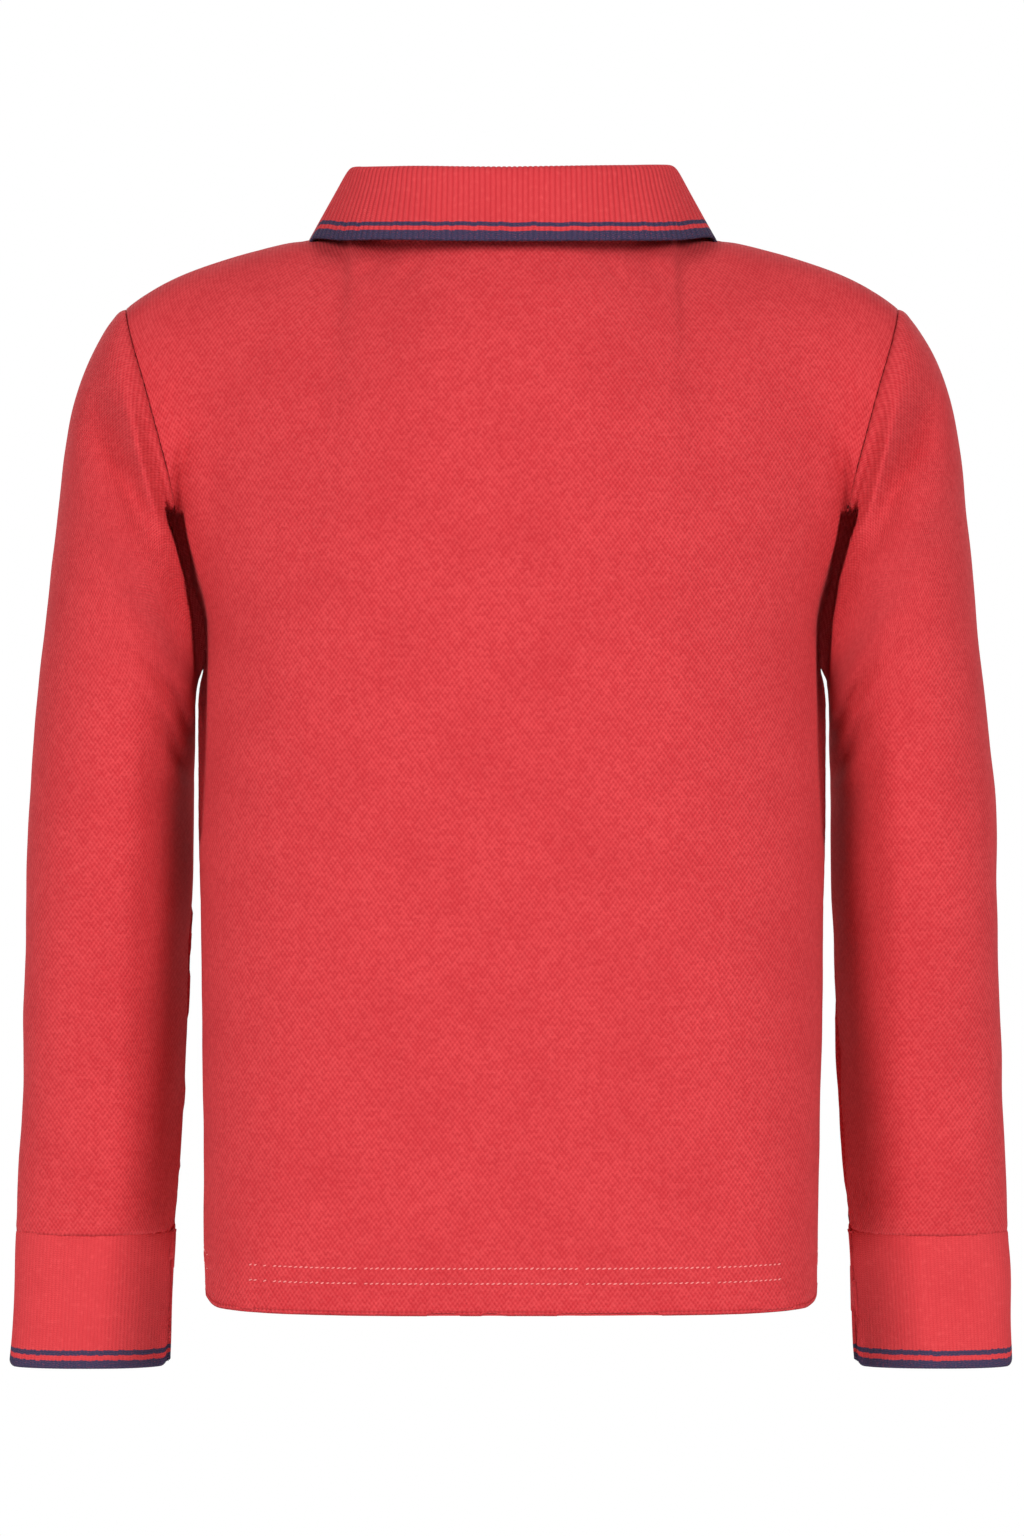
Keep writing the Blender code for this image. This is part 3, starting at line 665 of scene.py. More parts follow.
def pressed(points, closed):
    """Points after the creases are pressed in, straight along the eye's way."""
    out = normals_of(points, closed)
    for behind, creases in ((True, BACK_CREASES), (False, FRONT_CREASES)):
        way, at = towards_eye(points, behind), seen(points, behind)
        facing = np.clip((out * way).sum(axis=-1) * FACING_SLOPE + FACING_START, 0.0, 1.0)
        lift = np.zeros(facing.shape)
        for mirrored in (at, at * (-1, 1) + (PICTURE[0], 0)):
            for line, heights, width, lip in creases:
                reach = CREASE_REACH * width * MM / PIXEL
                near = ((mirrored > np.min(line, axis=0) - reach)
                        & (mirrored < np.max(line, axis=0) + reach)).all(axis=-1)
                distance, along, side = nearest_on_line(mirrored[near], line)
                off = distance * PIXEL / MM / width * side
                height = np.interp(along, np.linspace(0, 1, len(heights)), heights)
                lift[near] += height * (bell(off, 1.0) - lip * bell(off - LIP_PLACE, LIP_WIDTH))
        points = points + way * (lift * facing)[..., None] * MM
    return points


def tucked(points):
    """The deep fold under the arm: points inside its outline go back to the fold's floor."""
    heights, start, end = np.array(ARMPIT_FOLD).T
    for behind in (True, False):
        sign, at = (1 if behind else -1), seen(points, behind)
        across = side_place(at)
        left, right = (np.interp(at[..., 1], heights, border) for border in (start, end))
        share = np.clip(np.minimum(across - left, right - across) / FOLD_SOFT + 0.5, 0, 1)
        drop = np.maximum(points[..., 1] * sign - FOLD_FLOOR, 0) * share * share * (3 - 2 * share)
        way = towards_eye(points, behind)
        points = points - way * (drop / np.abs(way[..., 1]))[..., None]
    return points


def evened(points, share, closed, turns):
    """Points spread evenly along their rows, where share says so."""
    edge = np.abs(points[..., 0]).min(axis=1, keepdims=True)
    for _ in range(turns):
        if closed:
            points[:, -1] = points[:, 0]
            padded = np.concatenate((points[:, -2:-1], points, points[:, 1:2]), axis=1)
        else:
            padded = np.concatenate((points[:, :1], points, points[:, -1:]), axis=1)
        between = (padded[:, 2:] + padded[:, :-2]) / 2
        if not closed:
            between[:, [0, -1]] = points[:, [0, -1]]
        points += share[..., None] * (between - points) * 0.5
    if closed:
        moved = np.abs(points[..., 0]).min(axis=1, keepdims=True) - edge
        points[..., 0] -= np.sign(points[..., 0]) * moved * share
    return points


def drifted(points, closed, size, height, seed, from_seam=None):
    """Points after a slow, shallow unevenness, which stops at the seams."""
    waves = np.random.default_rng(seed)
    lift = np.zeros(points.shape[:2])
    for _ in range(7):
        way = waves.normal(size=3)
        way *= 2 * np.pi / (size * waves.uniform(0.7, 1.6)) / np.linalg.norm(way)
        lift += np.sin(points @ way + waves.uniform(0, 2 * np.pi))
    lift *= height / 2.2
    if from_seam is not None:
        lift *= 1 - bell(from_seam, 7 * MM)
    return points + normals_of(points, closed) * lift[..., None]


def turned_in(points):
    """A sleeve or cuff whose inner side is flattened forward, straight along the eye's way."""
    from_middle = np.abs(points[..., 0])
    (inner, outer), (front, back) = ends_of(from_middle), ends_of(points[..., 1])
    inwards = (outer - from_middle) / (outer - inner)
    half = (back - front) / 2
    level = (points[..., 1] - (back + front) / 2) / half
    round_wall = np.sqrt(np.clip(1 - (2 * inwards - 1) ** 2, 0, 1))
    round_wall = np.maximum(np.maximum(round_wall, np.abs(level)), 1e-6)
    share = (level / round_wall + 1) / 2
    height = seen(points)[..., 1].mean(axis=1, keepdims=True)
    ramp = np.clip((inwards - TURN_FROM) / (1 - TURN_FROM), 0, 1)
    back_wall = BACK_OUT + (BACK_IN - BACK_OUT) * ramp ** np.interp(height, *TURN_POWER)
    front_wall = -round_wall * (1 - ramp) + FRONT_IN * ramp
    turned = front_wall + (back_wall - front_wall) * share
    amount = read_off(TURN_IN, height) * (inwards > TURN_FROM)
    way = towards_eye(points, True)
    narrower = read_off(NARROWER, height) * PIXEL * inwards
    points = points + way * ((turned - level) * half * amount / way[..., 1])[..., None]
    points[..., 0] += np.sign(points[..., 0]) * narrower
    return points


def uneven_wave(run, pitch, seed):
    """A wave along a seam with an uneven pitch."""
    waves = np.random.default_rng(seed)
    total = np.zeros_like(run)
    for k in (0.62, 1.0, 1.47):
        total += np.sin(2 * np.pi * run * k / pitch + waves.uniform(0, 2 * np.pi))
    return total / 2.0


# %% [markdown]
# ## From points to a piece of cloth
# A flat grid is created as a bmesh shape, as cloth comes off the roll, and its points
# are then sent to their places. The flat place of each point stays with it as the UV
# map "cloth", in metres, so the knit follows the cloth and not the room. Solidify
# gives the thickness inwards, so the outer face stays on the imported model's.

# %% Cloth
def cloth_piece(name, points, across, along, material, thick, closed=False, cut=None):
    """A thin sheet through a net of points, with its place on the flat cloth."""
    rows, columns = points.shape[:2]
    bm = bmesh.new()
    bmesh.ops.create_grid(bm, x_segments=columns - 1, y_segments=rows - 1, size=1.0)
    mesh = bpy.data.meshes.new(name)
    bm.to_mesh(mesh)
    mesh.vertices.foreach_set("co", points.reshape(-1).astype(np.float32))
    flat = np.stack((across, along), axis=-1).reshape(-1, 2).astype(np.float32)
    owners = np.zeros(len(mesh.loops), np.int32)
    mesh.loops.foreach_get("vertex_index", owners)
    mesh.uv_layers.new(name="cloth")
    mesh.uv_layers["cloth"].data.foreach_set("uv", flat[owners].reshape(-1))
    bm.clear()
    bm.from_mesh(mesh)
    if cut is not None:
        bm.verts.ensure_lookup_table()
        gone = [f for f in bm.faces if cut(min(v.index for v in f.verts) // columns,
                                           min(v.index % columns for v in f.verts))]
        bmesh.ops.delete(bm, geom=gone, context="FACES")
    if closed:
        bmesh.ops.remove_doubles(bm, verts=[v for v in bm.verts if v.is_boundary], dist=1e-6)
    bm.normal_update()
    for face in bm.faces:
        face.smooth = True
    bm.to_mesh(mesh)
    bm.free()
    mesh.materials.append(material)
    piece = placed(name, mesh)
    solid = piece.modifiers.new("thickness", "SOLIDIFY")
    solid.thickness = thick
    solid.offset = -1.0
    solid.use_rim = True
    solid.use_even_offset = False
    print(f"{name}: {len(mesh.polygons)} quads, {area_of(points) * 1e4:.0f} square cm")
    return piece


def area_of(points):
    """Area of the surface through a net of points."""
    a = points[1:, 1:] - points[:-1, :-1]
    b = points[1:, :-1] - points[:-1, 1:]
    return float(np.linalg.norm(np.cross(a, b), axis=2).sum() / 2)


def settle(piece, node):
    """Hang a piece on the body, in the place of the node that it stands for."""
    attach(piece, "root")
    if node:
        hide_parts(node)
    return piece


def underlapped(points, edge, within, amount):
    """A row of points carried on a little further, to lie under the next piece's edge."""
    way = points[edge] - points[within]
    points[edge] += way / np.linalg.norm(way, axis=1, keepdims=True) * amount


def graded(*spans):
    """Places along a length from spans of (start, end, step), with the last end."""
    return np.concatenate([even(*span) for span in spans] + [[spans[-1][1]]])


# %% [markdown]
# ## Back and front panels
# Both are one sheet from the hem to the shoulder seams. At each seam the cloth dips a
# little, and the edge of one piece goes on under the next, which leaves a thin line and
# lets no light through. At the hem the cloth folds under and goes back up inside for
# 20 mm, held by two rows of stitches that pull it in a little. Under the arm, body and
# sleeve fall back into one deep, dark fold, whose outline is read from the picture.

# %% Panels: sizes
CLOTH = 0.9 * MM
HEM_FOLD = 1.05 * MM
HEM_TURN = 20.5 * MM
FOLD_STEPS = 9
HEM_ROWS = (12.9 * MM, 19.5 * MM)
HEM_ROUND = 7.5 * MM
HEM_REACH = 45.0 * MM
SEAM_DIP = 0.14 * MM
SEAM_WIDTH = 0.9 * MM
UNDERLAP = 0.9 * MM
PANEL_COLUMNS = 21
SLOT_COLUMNS = (9, 11)
BODY_ROWS = 13

FOLD_FLOOR = 1.2 * MM
FOLD_SOFT = 2.4
FOLD_SIDE = 5.0 * MM
FOLD_EVEN = (560, 590, 880, 910)
NECK_CORNER, NECK_REACH = 167, 60
NECK_TURNS = 220
PANEL_TURNS = 60
SHOULDER_SOFT = 24
ARMPIT_FOLD = (
    # height in the picture, its borders on the sleeve's and the body's side
    (500, 170, 163), (509, 166, 170), (514, 166, 183), (522, 167.5, 184.5), (540, 174, 187.5),
    (560, 179.5, 192.5), (580, 185, 197), (600, 188, 203), (620, 191.5, 206.5), (660, 194, 207.5),
    (700, 195.5, 207), (740, 195.5, 206.5), (780, 194.5, 205), (830, 195, 202.5), (870, 199, 196),
)
SHOULDER = (
    # place across the picture, the shoulder's height there, how far it rises
    (84, 372, 0.0), (100, 335, 1.5), (116, 316, 4.0), (127, 307, 5.5), (150, 295, 4.5),
    (200, 273, 4.0), (290, 247, 4.0), (318, 240, 2.5), (345, 236, 0.0),
)
SIDE_EDGE = ((660, 205.0), (672, 203.0), (682, 200.0), (700, 198.0), (820, 198.2), (860, 199.2),
             (900, 200.5))
BACK_CREASES = (
    # line in the picture, heights along it, half width, share of a lip beside it
    # the cap of the sleeve
    (((88, 385), (98, 408), (108, 432), (119, 457), (129, 480), (135, 502), (143, 522),
      (153, 546), (166, 572)), (0.0, -3.2, -5.0, -6.4, -6.8, -6.0, -4.6, -2.4, 0.0), 5.4, 0.0),
    (((84, 378), (98, 420), (114, 456), (128, 488), (141, 518), (152, 546)),
     (-4.0, -8.5, -9.0, -8.0, -6.0, -3.0), 11.0, 0.0),
    (((134, 372), (140, 400), (146, 430), (150, 455), (155, 476), (161, 494), (168, 512)),
     (0.0, -0.6, -1.2, -4.0, -6.0, -7.5, -8.0), 3.2, 0.0),
    (((124, 392), (134, 430), (142, 460), (152, 490), (162, 520)),
     (0.6, 2.6, 3.2, 2.2, 0.6), 3.2, 0.0),
    (((74, 470), (84, 520), (86, 570)), (0.0, -0.6, 0.0), 7.0, 0.2),
    # the back beside the armhole
    (((191, 428), (185, 446), (180, 464), (178, 488), (180, 512)),
     (0.0, -2.4, -4.2, -5.0, -6.5), 2.4, 0.15),
    (((184, 376), (172, 392), (162, 410), (156, 424)), (0.0, -1.0, -1.3, 0.0), 2.4, 0.3),
    (((206, 440), (199, 470), (196, 506), (199, 540)), (0.0, 0.9, 0.8, 0.0), 3.6, 0.2),
    (((222, 470), (212, 520), (208, 580)), (0.0, -0.5, 0.0), 4.0, 0.3),
    # under the collar
    (((392, 246), (372, 268), (345, 286)), (-0.4, -1.2, 0.0), 3.0, 0.4),
    (((426, 246), (412, 268), (396, 292)), (-0.5, -1.2, 0.0), 2.6, 0.4),
    (((448, 242), (452, 264), (446, 286)), (-0.2, -0.4, 0.0), 2.4, 0.4),
    (((330, 250), (300, 268), (262, 284)), (0.0, -0.4, 0.0), 4.0, 0.4),
    (((520, 242), (534, 258), (556, 270)), (-0.2, -0.4, 0.0), 2.4, 0.4),
    # down the sides and above the hem
    (((226, 600), (222, 700), (222, 800)), (0.0, -1.3, 0.0), 11.0, 0.3),
    (((236, 1060), (232, 1150), (240, 1235)), (0.0, -0.5, 0.0), 8.0, 0.3),
    (((372, 1180), (386, 1205), (402, 1230)), (0.0, -0.4, 0.0), 3.6, 0.4),
    (((250, 1200), (262, 1216), (280, 1234)), (0.0, -0.3, 0.0), 3.6, 0.4),
    # the elbow
    (((118, 636), (140, 654), (158, 675), (170, 694), (182, 716), (193, 736)),
     (0.0, -1.0, -2.4, -4.6, -6.0, -3.0), 2.8, 0.4),
    (((154, 712), (165, 732), (176, 752), (190, 776)), (0.0, -4.2, -6.0, -3.0), 3.0, 0.5),
    (((152, 668), (166, 676), (186, 698)), (0.0, 0.7, 0.5), 3.0, 0.2),
    (((150, 776), (160, 810), (164, 860)), (0.0, -1.0, 0.0), 4.0, 0.3),
    (((118, 800), (136, 860), (140, 920)), (0.0, -0.5, 0.0), 6.0, 0.3),
    (((64, 560), (60, 660), (58, 760)), (0.0, -0.5, 0.0), 9.0, 0.3),
    # above the cuff and on it
    (((96, 1080), (122, 1092), (150, 1098)), (0.0, -0.5, 0.0), 3.2, 0.5),
    (((110, 1046), (134, 1058), (156, 1060)), (0.0, -0.5, 0.0), 3.6, 0.5),
    (((104, 1128), (130, 1140), (160, 1146)), (0.0, -0.6, 0.0), 3.4, 0.5),
    (((60, 1150), (84, 1164), (110, 1170)), (0.0, -0.3, 0.0), 3.0, 0.5),
    (((120, 1178), (144, 1190), (172, 1196)), (0.0, -0.8, -0.4), 3.2, 0.5),
    (((40, 1192), (62, 1206), (86, 1212)), (0.0, -0.3, 0.0), 3.0, 0.5),
    (((168, 1306), (168, 1334), (168, 1362)), (0.0, 1.6, 1.6), 2.4, 0.2),
    (((60, 1242), (64, 1290), (58, 1350)), (0.0, -0.4, 0.0), 8.0, 0.3),
)
FRONT_CREASES = (
    (((88, 392), (106, 432), (127, 482), (142, 530), (160, 580)),
     (0.0, -2.2, -2.4, -1.2, 0.0), 4.6, 0.2),
    (((136, 384), (146, 430), (158, 480), (168, 512)), (0.0, -1.2, -3.0, -4.6), 2.8, 0.3),
    (((194, 424), (184, 452), (179, 486), (180, 512)), (0.0, -1.6, -2.8, -3.6), 2.4, 0.3),
    (((240, 420), (216, 470), (206, 540)), (0.0, -1.3, 0.0), 4.4, 0.35),
    (((430, 540), (350, 620), (290, 690)), (0.0, -0.9, 0.0), 9.0, 0.3),
    (((400, 700), (320, 760), (250, 790)), (0.0, -0.8, 0.0), 9.0, 0.3),
    (((240, 620), (226, 720), (222, 800)), (0.0, -1.2, 0.0), 10.0, 0.3),
    (((260, 1060), (246, 1140), (250, 1225)), (0.0, -0.9, -0.3), 8.0, 0.3),
    (((360, 1130), (372, 1190), (368, 1240)), (0.0, -0.7, -0.2), 7.0, 0.3),
    (((462, 700), (450, 800), (448, 900)), (0.0, 0.7, 0.0), 14.0, 0.2),
    (((112, 690), (148, 712), (190, 730)), (0.0, -2.2, -2.0), 4.0, 0.5),
    (((92, 742), (140, 768), (188, 782)), (0.0, -2.0, -1.6), 4.2, 0.5),
    (((120, 640), (150, 664), (186, 676)), (0.0, -1.4, -1.0), 3.8, 0.5),
    (((70, 800), (104, 826), (150, 838)), (0.0, -1.0, 0.0), 4.6, 0.4),
    (((60, 1100), (100, 1126), (150, 1134)), (0.0, -1.0, 0.0), 4.2, 0.5),
    (((50, 1160), (90, 1182), (140, 1190)), (0.0, -0.9, 0.0), 3.8, 0.5),
)

# %% [markdown]
# A panel is laid on its net and drifts a little. Its shoulder line goes up to its place
# in the picture, the creases are pressed in, the fold under the arm is tucked back and
# its cloth evened out. Last come the seams, the puckers beside them and the hem.

# %% Panels: shape
def rounded_corners(points, along):
    """The hem rises round the sides of the body."""
    far = np.abs(points[..., 0])
    widest = far.max(axis=1, keepdims=True)
    beyond = np.abs(np.arange(far.shape[1]) - far.shape[1] // 2) > np.abs(
        far.argmax(axis=1)[:, None] - far.shape[1] // 2)
    corner = np.clip(HEM_ROUND - np.where(beyond, 0.0, widest - far), 0, HEM_ROUND * 0.96)
    lift = HEM_ROUND - np.sqrt(HEM_ROUND ** 2 - corner ** 2)
    lift = lift * np.clip(1 - along / HEM_REACH, 0, 1) ** 1.5
    return points + lift[..., None] * UP


def even_by_neck(points, from_top):
    """Where shoulder seam and neckline meet, the form's kink runs out in the cloth."""
    far = np.abs(np.abs(seen(points)[..., 0] - PICTURE[0] / 2) - NECK_CORNER)
    share = bell(far, NECK_REACH) * np.clip(1 - from_top / (70 * MM), 0, 1)
    share = (share * np.clip(from_top / (5 * MM), 0, 1))[:, 1:-1] * 0.5
    depth = points[..., 1]
    for _ in range(NECK_TURNS):
        depth[:, 1:-1] += share * ((depth[:, 2:] + depth[:, :-2]) / 2 - depth[:, 1:-1])
    return points


def shoulders_up(points):
    """The shoulder line, raised to its place in the picture."""
    at = seen(points)
    across, line, lift = np.array(SHOULDER).T
    off = at[..., 1] - np.interp(side_place(at), across, line)
    rise = np.interp(side_place(at), across, lift) * bell(off, SHOULDER_SOFT) * PIXEL
    return points + rise[..., None] * UP


def side_set_out(points, from_side):
    """Below the armpit the side seam stands out to its place in the picture."""
    for column in (0, -1):
        edge = seen(points[:, column])
        wanted = read_off(SIDE_EDGE, edge[:, 1])
        known = (edge[:, 1] > SIDE_EDGE[0][0]) & (edge[:, 1] < SIDE_EDGE[-1][0])
        shift = np.where(known, side_place(edge) - wanted, 0.0) * PIXEL
        shift = shift * np.sign(points[:, column, 0])
        here = np.sign(points[..., 0]) == np.sign(points[:, column, 0])[:, None]
        points[..., 0] += bell(from_side, 6 * MM) * here * shift[:, None]
    return points


def panel(node, behind, seed):
    """A panel's points, its place on the flat cloth, and its slit: row and two columns."""
    side = 1.0 if behind else -1.0
    net_points = front_net() if node == "front" else net(
        node, (0, side, 0), (-1, 0, -1), (1, 0, 0), PANEL_COLUMNS)
    width, height = run_of(net_points, 1), run_of(net_points, 0)
    underarm = height[BODY_ROWS]
    rows_at = np.concatenate((
        graded((0.0, 24 * MM, 0.9 * MM), (24 * MM, 190 * MM, 3.0 * MM),
               (190 * MM, underarm, 2.2 * MM))[:-1],
        underarm + places(height[-1] - underarm, 2.1 * MM, start=False)))
    slot = width[list(SLOT_COLUMNS)]
    half = [0.0, 0.5 * MM, 1.2 * MM, *graded(
        (2.2 * MM, 30 * MM, 1.1 * MM), (30 * MM, 70 * MM, 2.0 * MM),
        (70 * MM, slot[0], 2.8 * MM))]
    columns_at = np.concatenate((half, even(slot[0], slot[1], 2.8 * MM)[1:],
                                 (width[-1] - np.array(half))[::-1]))
    points = laid(net_points, rows_at, columns_at)
    along = travelled(points, 0)
    across = travelled(points, 1, len(columns_at) // 2)
    from_side = np.minimum(across - across[:, :1], across[:, -1:] - across)
    from_top = along[-1:] - along
    from_seam = np.minimum(from_side, from_top)
    points = drifted(points, False, 0.075, 0.35 * MM, seed, from_seam)
    points = drifted(points, False, 0.024, 0.07 * MM, seed + 1, from_seam)
    points = shoulders_up(even_by_neck(points, from_top))
    points = tucked(side_set_out(pressed(points, False), from_side))
    share = np.interp(seen(points)[..., 1], FOLD_EVEN, (0, 1, 1, 0))
    points = evened(points, share * bell(from_side, FOLD_SIDE), False, PANEL_TURNS)
    points = rounded_corners(points, along)
    dip = bell(from_side, SEAM_WIDTH) + bell(from_top, SEAM_WIDTH)
    pucker = uneven_wave(along, 7 * MM, seed + 2) * np.exp(-from_side / (3.0 * MM))
    rows_dip = sum(bell(along - row, 0.9 * MM) for row in HEM_ROWS)
    between = bell(along - sum(HEM_ROWS) / 2, 2.4 * MM)
    hem_wave = uneven_wave(across, 16 * MM, seed + 3) * np.exp(-along / (14 * MM))
    lift = 0.10 * MM * pucker + 0.12 * MM * between + 0.16 * MM * hem_wave
    lift -= SEAM_DIP * np.minimum(dip, 1.0) + 0.28 * MM * rows_dip
    points = points + normals_of(points) * lift[..., None]
    slit = [int(np.argmin(np.abs(at - place))) for at, place in (
        (rows_at, underarm), (columns_at, slot[0]), (columns_at, slot[1]))]
    return points, across, along, slit


def hemmed(points, across, along):
    """The panel with its hem folded under and turned up inside."""
    out = normals_of(points)
    count = int(np.searchsorted(along[:, 0], HEM_TURN))
    inner = points[1:count] - out[1:count] * 2 * HEM_FOLD
    centre = points[:1] + (UP - out[:1]) * HEM_FOLD
    turns = np.radians(np.linspace(180.0, 0.0, FOLD_STEPS))[:, None, None]
    fold = centre + HEM_FOLD * (out[:1] * np.cos(turns) - UP * np.sin(turns))
    rest = np.linspace(-1.0, 0.0, FOLD_STEPS)[:, None] * np.pi * HEM_FOLD
    points = np.concatenate((inner[::-1], fold, points[1:]))
    along = np.concatenate((-along[1:count][::-1] - np.pi * HEM_FOLD,
                            rest + np.zeros_like(along[:1]), along[1:]))
    across = np.concatenate((across[1:count][::-1],
                             np.repeat(across[:1], FOLD_STEPS, axis=0), across[1:]))
    return points, across, along


# %% [markdown]
# The front is slit down its middle for the placket, so its rows can't be read right
# across. Its left half is read from the side seam to the slit instead, the missing
# middle is found from the curve of each row, and the other half is its mirror image.

# %% The front's net
def front_net():
    """The front's net, with its middle filled in where it is slit."""
    half = PANEL_COLUMNS // 2 + 1
    points = []
    for row in rows_of("front", (0, -1, 0), (1, 0, -1), (-1, 0, 0), half):
        line = [place for place, _ in row]
        if len(line) < half:
            (x1, y1, z1), (x2, y2, z2) = line[-1], line[-2]
            share = x1 ** 2 / (x2 ** 2 - x1 ** 2)
            line.append(np.array((0.0, y1 - (y2 - y1) * share, z1 - (z2 - z1) * share)))
        points.append(line)
    left = np.array(points)
    left[:, -1, 0] = 0.0
    whole = np.concatenate((left, left[:, -2::-1] * (-1, 1, 1)), axis=1)
    out = np.cross(np.gradient(whole, axis=1), np.gradient(whole, axis=0))
    if out[..., 1].sum() > 0:
        whole = whole[:, ::-1]
    print(f"front: {whole.shape[0]} rows of {whole.shape[1]}, read as two halves")
    return whole


# %% Panels: pieces
back_flat = panel("back", True, 11)[:3]
underlapped(back_flat[0], -1, -2, 0.6 * MM)
points, across, along = hemmed(*back_flat)
back = settle(cloth_piece("back_panel", points, across, along, pique_cloth, CLOTH), "back")
areas = {"back": area_of(points)}

*front_flat, (slit_row, slit_from, slit_to) = panel("front", False, 23)
points, across, along = hemmed(*front_flat)
slit_row += len(points) - len(front_flat[0])


def front_cut(i, j):
    """The slit for the placket."""
    return i >= slit_row and slit_from <= j < slit_to


front = settle(cloth_piece("front_panel", points, across, along, pique_cloth, CLOTH,
                           cut=front_cut), "front")
areas["front"] = area_of(points)

# %% [markdown]
# ## Sleeves
# Each sleeve is one tube from the cuff seam to the armhole. The cap is eased into the
# armhole, so the sleeve's side of that seam stands a little proud and puckers. The
# largest fold runs from the cap down to the armpit, and short diagonal creases break
# the inner side at the elbow. On the picture the inner side lies flat and turned
# forward, in shade, so the tube is pressed together there, straight along the eye's way.

# %% Sleeves
SLEEVE_COLUMNS = 192
SLEEVE_EVEN = (670, 690, 880, 910)
SLEEVE_TURNS = 6
INNER_EDGE = 187
TURN_FROM = 0.58
BACK_OUT, BACK_IN, FRONT_IN = 0.985, -0.8, -0.95
TURN_POWER = ((1215, 1260), (2.1, 1.4))
TURN_IN = (
    # height in the picture, how much of the turn is done there
    (600, 0.0), (660, 0.15), (720, 0.5), (780, 0.8), (900, 0.9), (1100, 1.0), (1360, 1.0),
)
NARROWER = (
    # height in the picture, pixels that the inner side is set back there
    (900, 0.0), (940, 1.5), (1100, 2.2), (1180, 2.2), (1227, 3.4), (1260, 4.6), (1360, 5.6),
)
SLEEVE_EDGE = ((600, 215.0), (668, 204.5), (680, 199.0), (690, 196.4), (705, 195.4), (750, 195.2),
               (800, 194.4), (860, 193.6), (900, 193.2), (960, 191.2), (1400, 191.2))


def held_off(points):
    """The sleeve's inner side, kept behind its edge in the picture."""
    at = seen(points)
    over = side_place(at) - read_off(SLEEVE_EDGE, at[..., 1])
    over = soft_excess(over, 0.6) * PIXEL * np.sign(points[..., 0])
    return points + over[..., None] * np.array((1.0, 0.0, 0.0))


def sleeve_points(side, seed):
    """The sleeve's points and its place on the flat cloth."""
    inward = -1 if side == "left" else 1
    sleeve_net = net(f"sleeve_{side}", (0, 1, 0), (inward, 0, -20), (0, 1, 0), 24, closed=True)
    height = run_of(sleeve_net, 0)[-1]
    rows_at = np.concatenate(([0.0, 0.5 * MM, 1.2 * MM], graded(
        (2.2 * MM, height - 95 * MM, 3.0 * MM), (height - 95 * MM, height - 16 * MM, 1.7 * MM),
        (height - 16 * MM, height - 2.2 * MM, 1.05 * MM)), height - np.array((1.2, 0.5, 0)) * MM))
    points = turned_in(laid_round(sleeve_net, rows_at, SLEEVE_COLUMNS))
    along = travelled(points, 0)
    across = travelled(points, 1, SLEEVE_COLUMNS // 2)
    from_cuff, from_cap = along, along[-1:] - along
    from_seam = np.minimum(from_cuff, from_cap)
    points = drifted(points, True, 0.06, 0.40 * MM, seed, from_seam)
    points = drifted(points, True, 0.022, 0.08 * MM, seed + 1, from_seam)
    points = held_off(tucked(pressed(shoulders_up(points), True)))
    at = seen(points)
    share = np.interp(at[..., 1], SLEEVE_EVEN, (0, 1, 1, 0))
    share *= np.clip((side_place(at) - INNER_EDGE) / 4, 0, 1)
    points = evened(points, share, True, SLEEVE_TURNS)
    points[:, -1] = points[:, 0]
    dip = SEAM_DIP * bell(from_cap, SEAM_WIDTH) + 0.24 * MM * bell(from_cuff, SEAM_WIDTH)
    ease = 0.26 * MM * bell(from_cap - 3.2 * MM, 2.2 * MM)
    pucker = 0.10 * MM * uneven_wave(across[-1:], 5 * MM, seed + 2) * np.exp(-from_cap / (5 * MM))
    gather = 0.14 * MM * uneven_wave(across[:1], 7 * MM, seed + 3) * np.exp(-from_cuff / (6 * MM))
    points = points + normals_of(points, True) * (ease + pucker + gather - dip)[..., None]
    underlapped(points, -1, -2, UNDERLAP)
    underlapped(points, 0, 1, UNDERLAP)
    points[:, -1] = points[:, 0]
    return points, across, along


for side, seed in (("left", 31), ("right", 47)):
    points, across, along = sleeve_points(side, seed)
    areas[f"sleeve {side}"] = area_of(points)
    settle(cloth_piece(f"sleeve_{side}_cloth", points, across, along, pique_cloth,
                                       CLOTH, closed=True), f"sleeve_{side}")

# %% [markdown]
# ## Ribs
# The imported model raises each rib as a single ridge. Here its crests are read as a
# smooth surface, and the ribs are carved between them with a round top and a narrow
# groove, which catches the light as knitted rib does.

# %% Collar
RIB_CLOTH = 1.3 * MM
RIB_DEPTH = 0.42 * MM
CUFF_DEPTH = 0.20 * MM
STEPS_PER_RIB = 6
CUFF_STEPS = 4
WIDE_STEP, HOLDS = 12 * MM, (0.10, 0.5, 0.90)
COLLAR_RISE = 1.1 * MM
RISE_BEHIND, RISE_END, RISE_FADE = 30 * MM, 60 * MM, 16 * MM
COLLAR_TOP = 165.2
COLLAR_HALF = 163.0
COLLAR_SLANT = 1.89
CUFF_ROUND = 3.0 * MM
CUFF_BANDS = 9 * MM


def carved(phase, depth):
    """How far a rib's face lies under its crest; the groove is at whole numbers."""
    return depth * (1 - np.abs(np.sin(np.pi * phase)) ** 0.65)


def lowered(points):
    """The collar's top edge is level in the picture and round at its two ends."""
    at = seen(points)
    beyond = np.abs(at[..., 0] - PICTURE[0] / 2) - COLLAR_HALF
    top = COLLAR_TOP + soft_excess(beyond * COLLAR_SLANT, 4.0)
    return points - (soft_excess(top - at[..., 1], 1.2) * PIXEL)[..., None] * UP


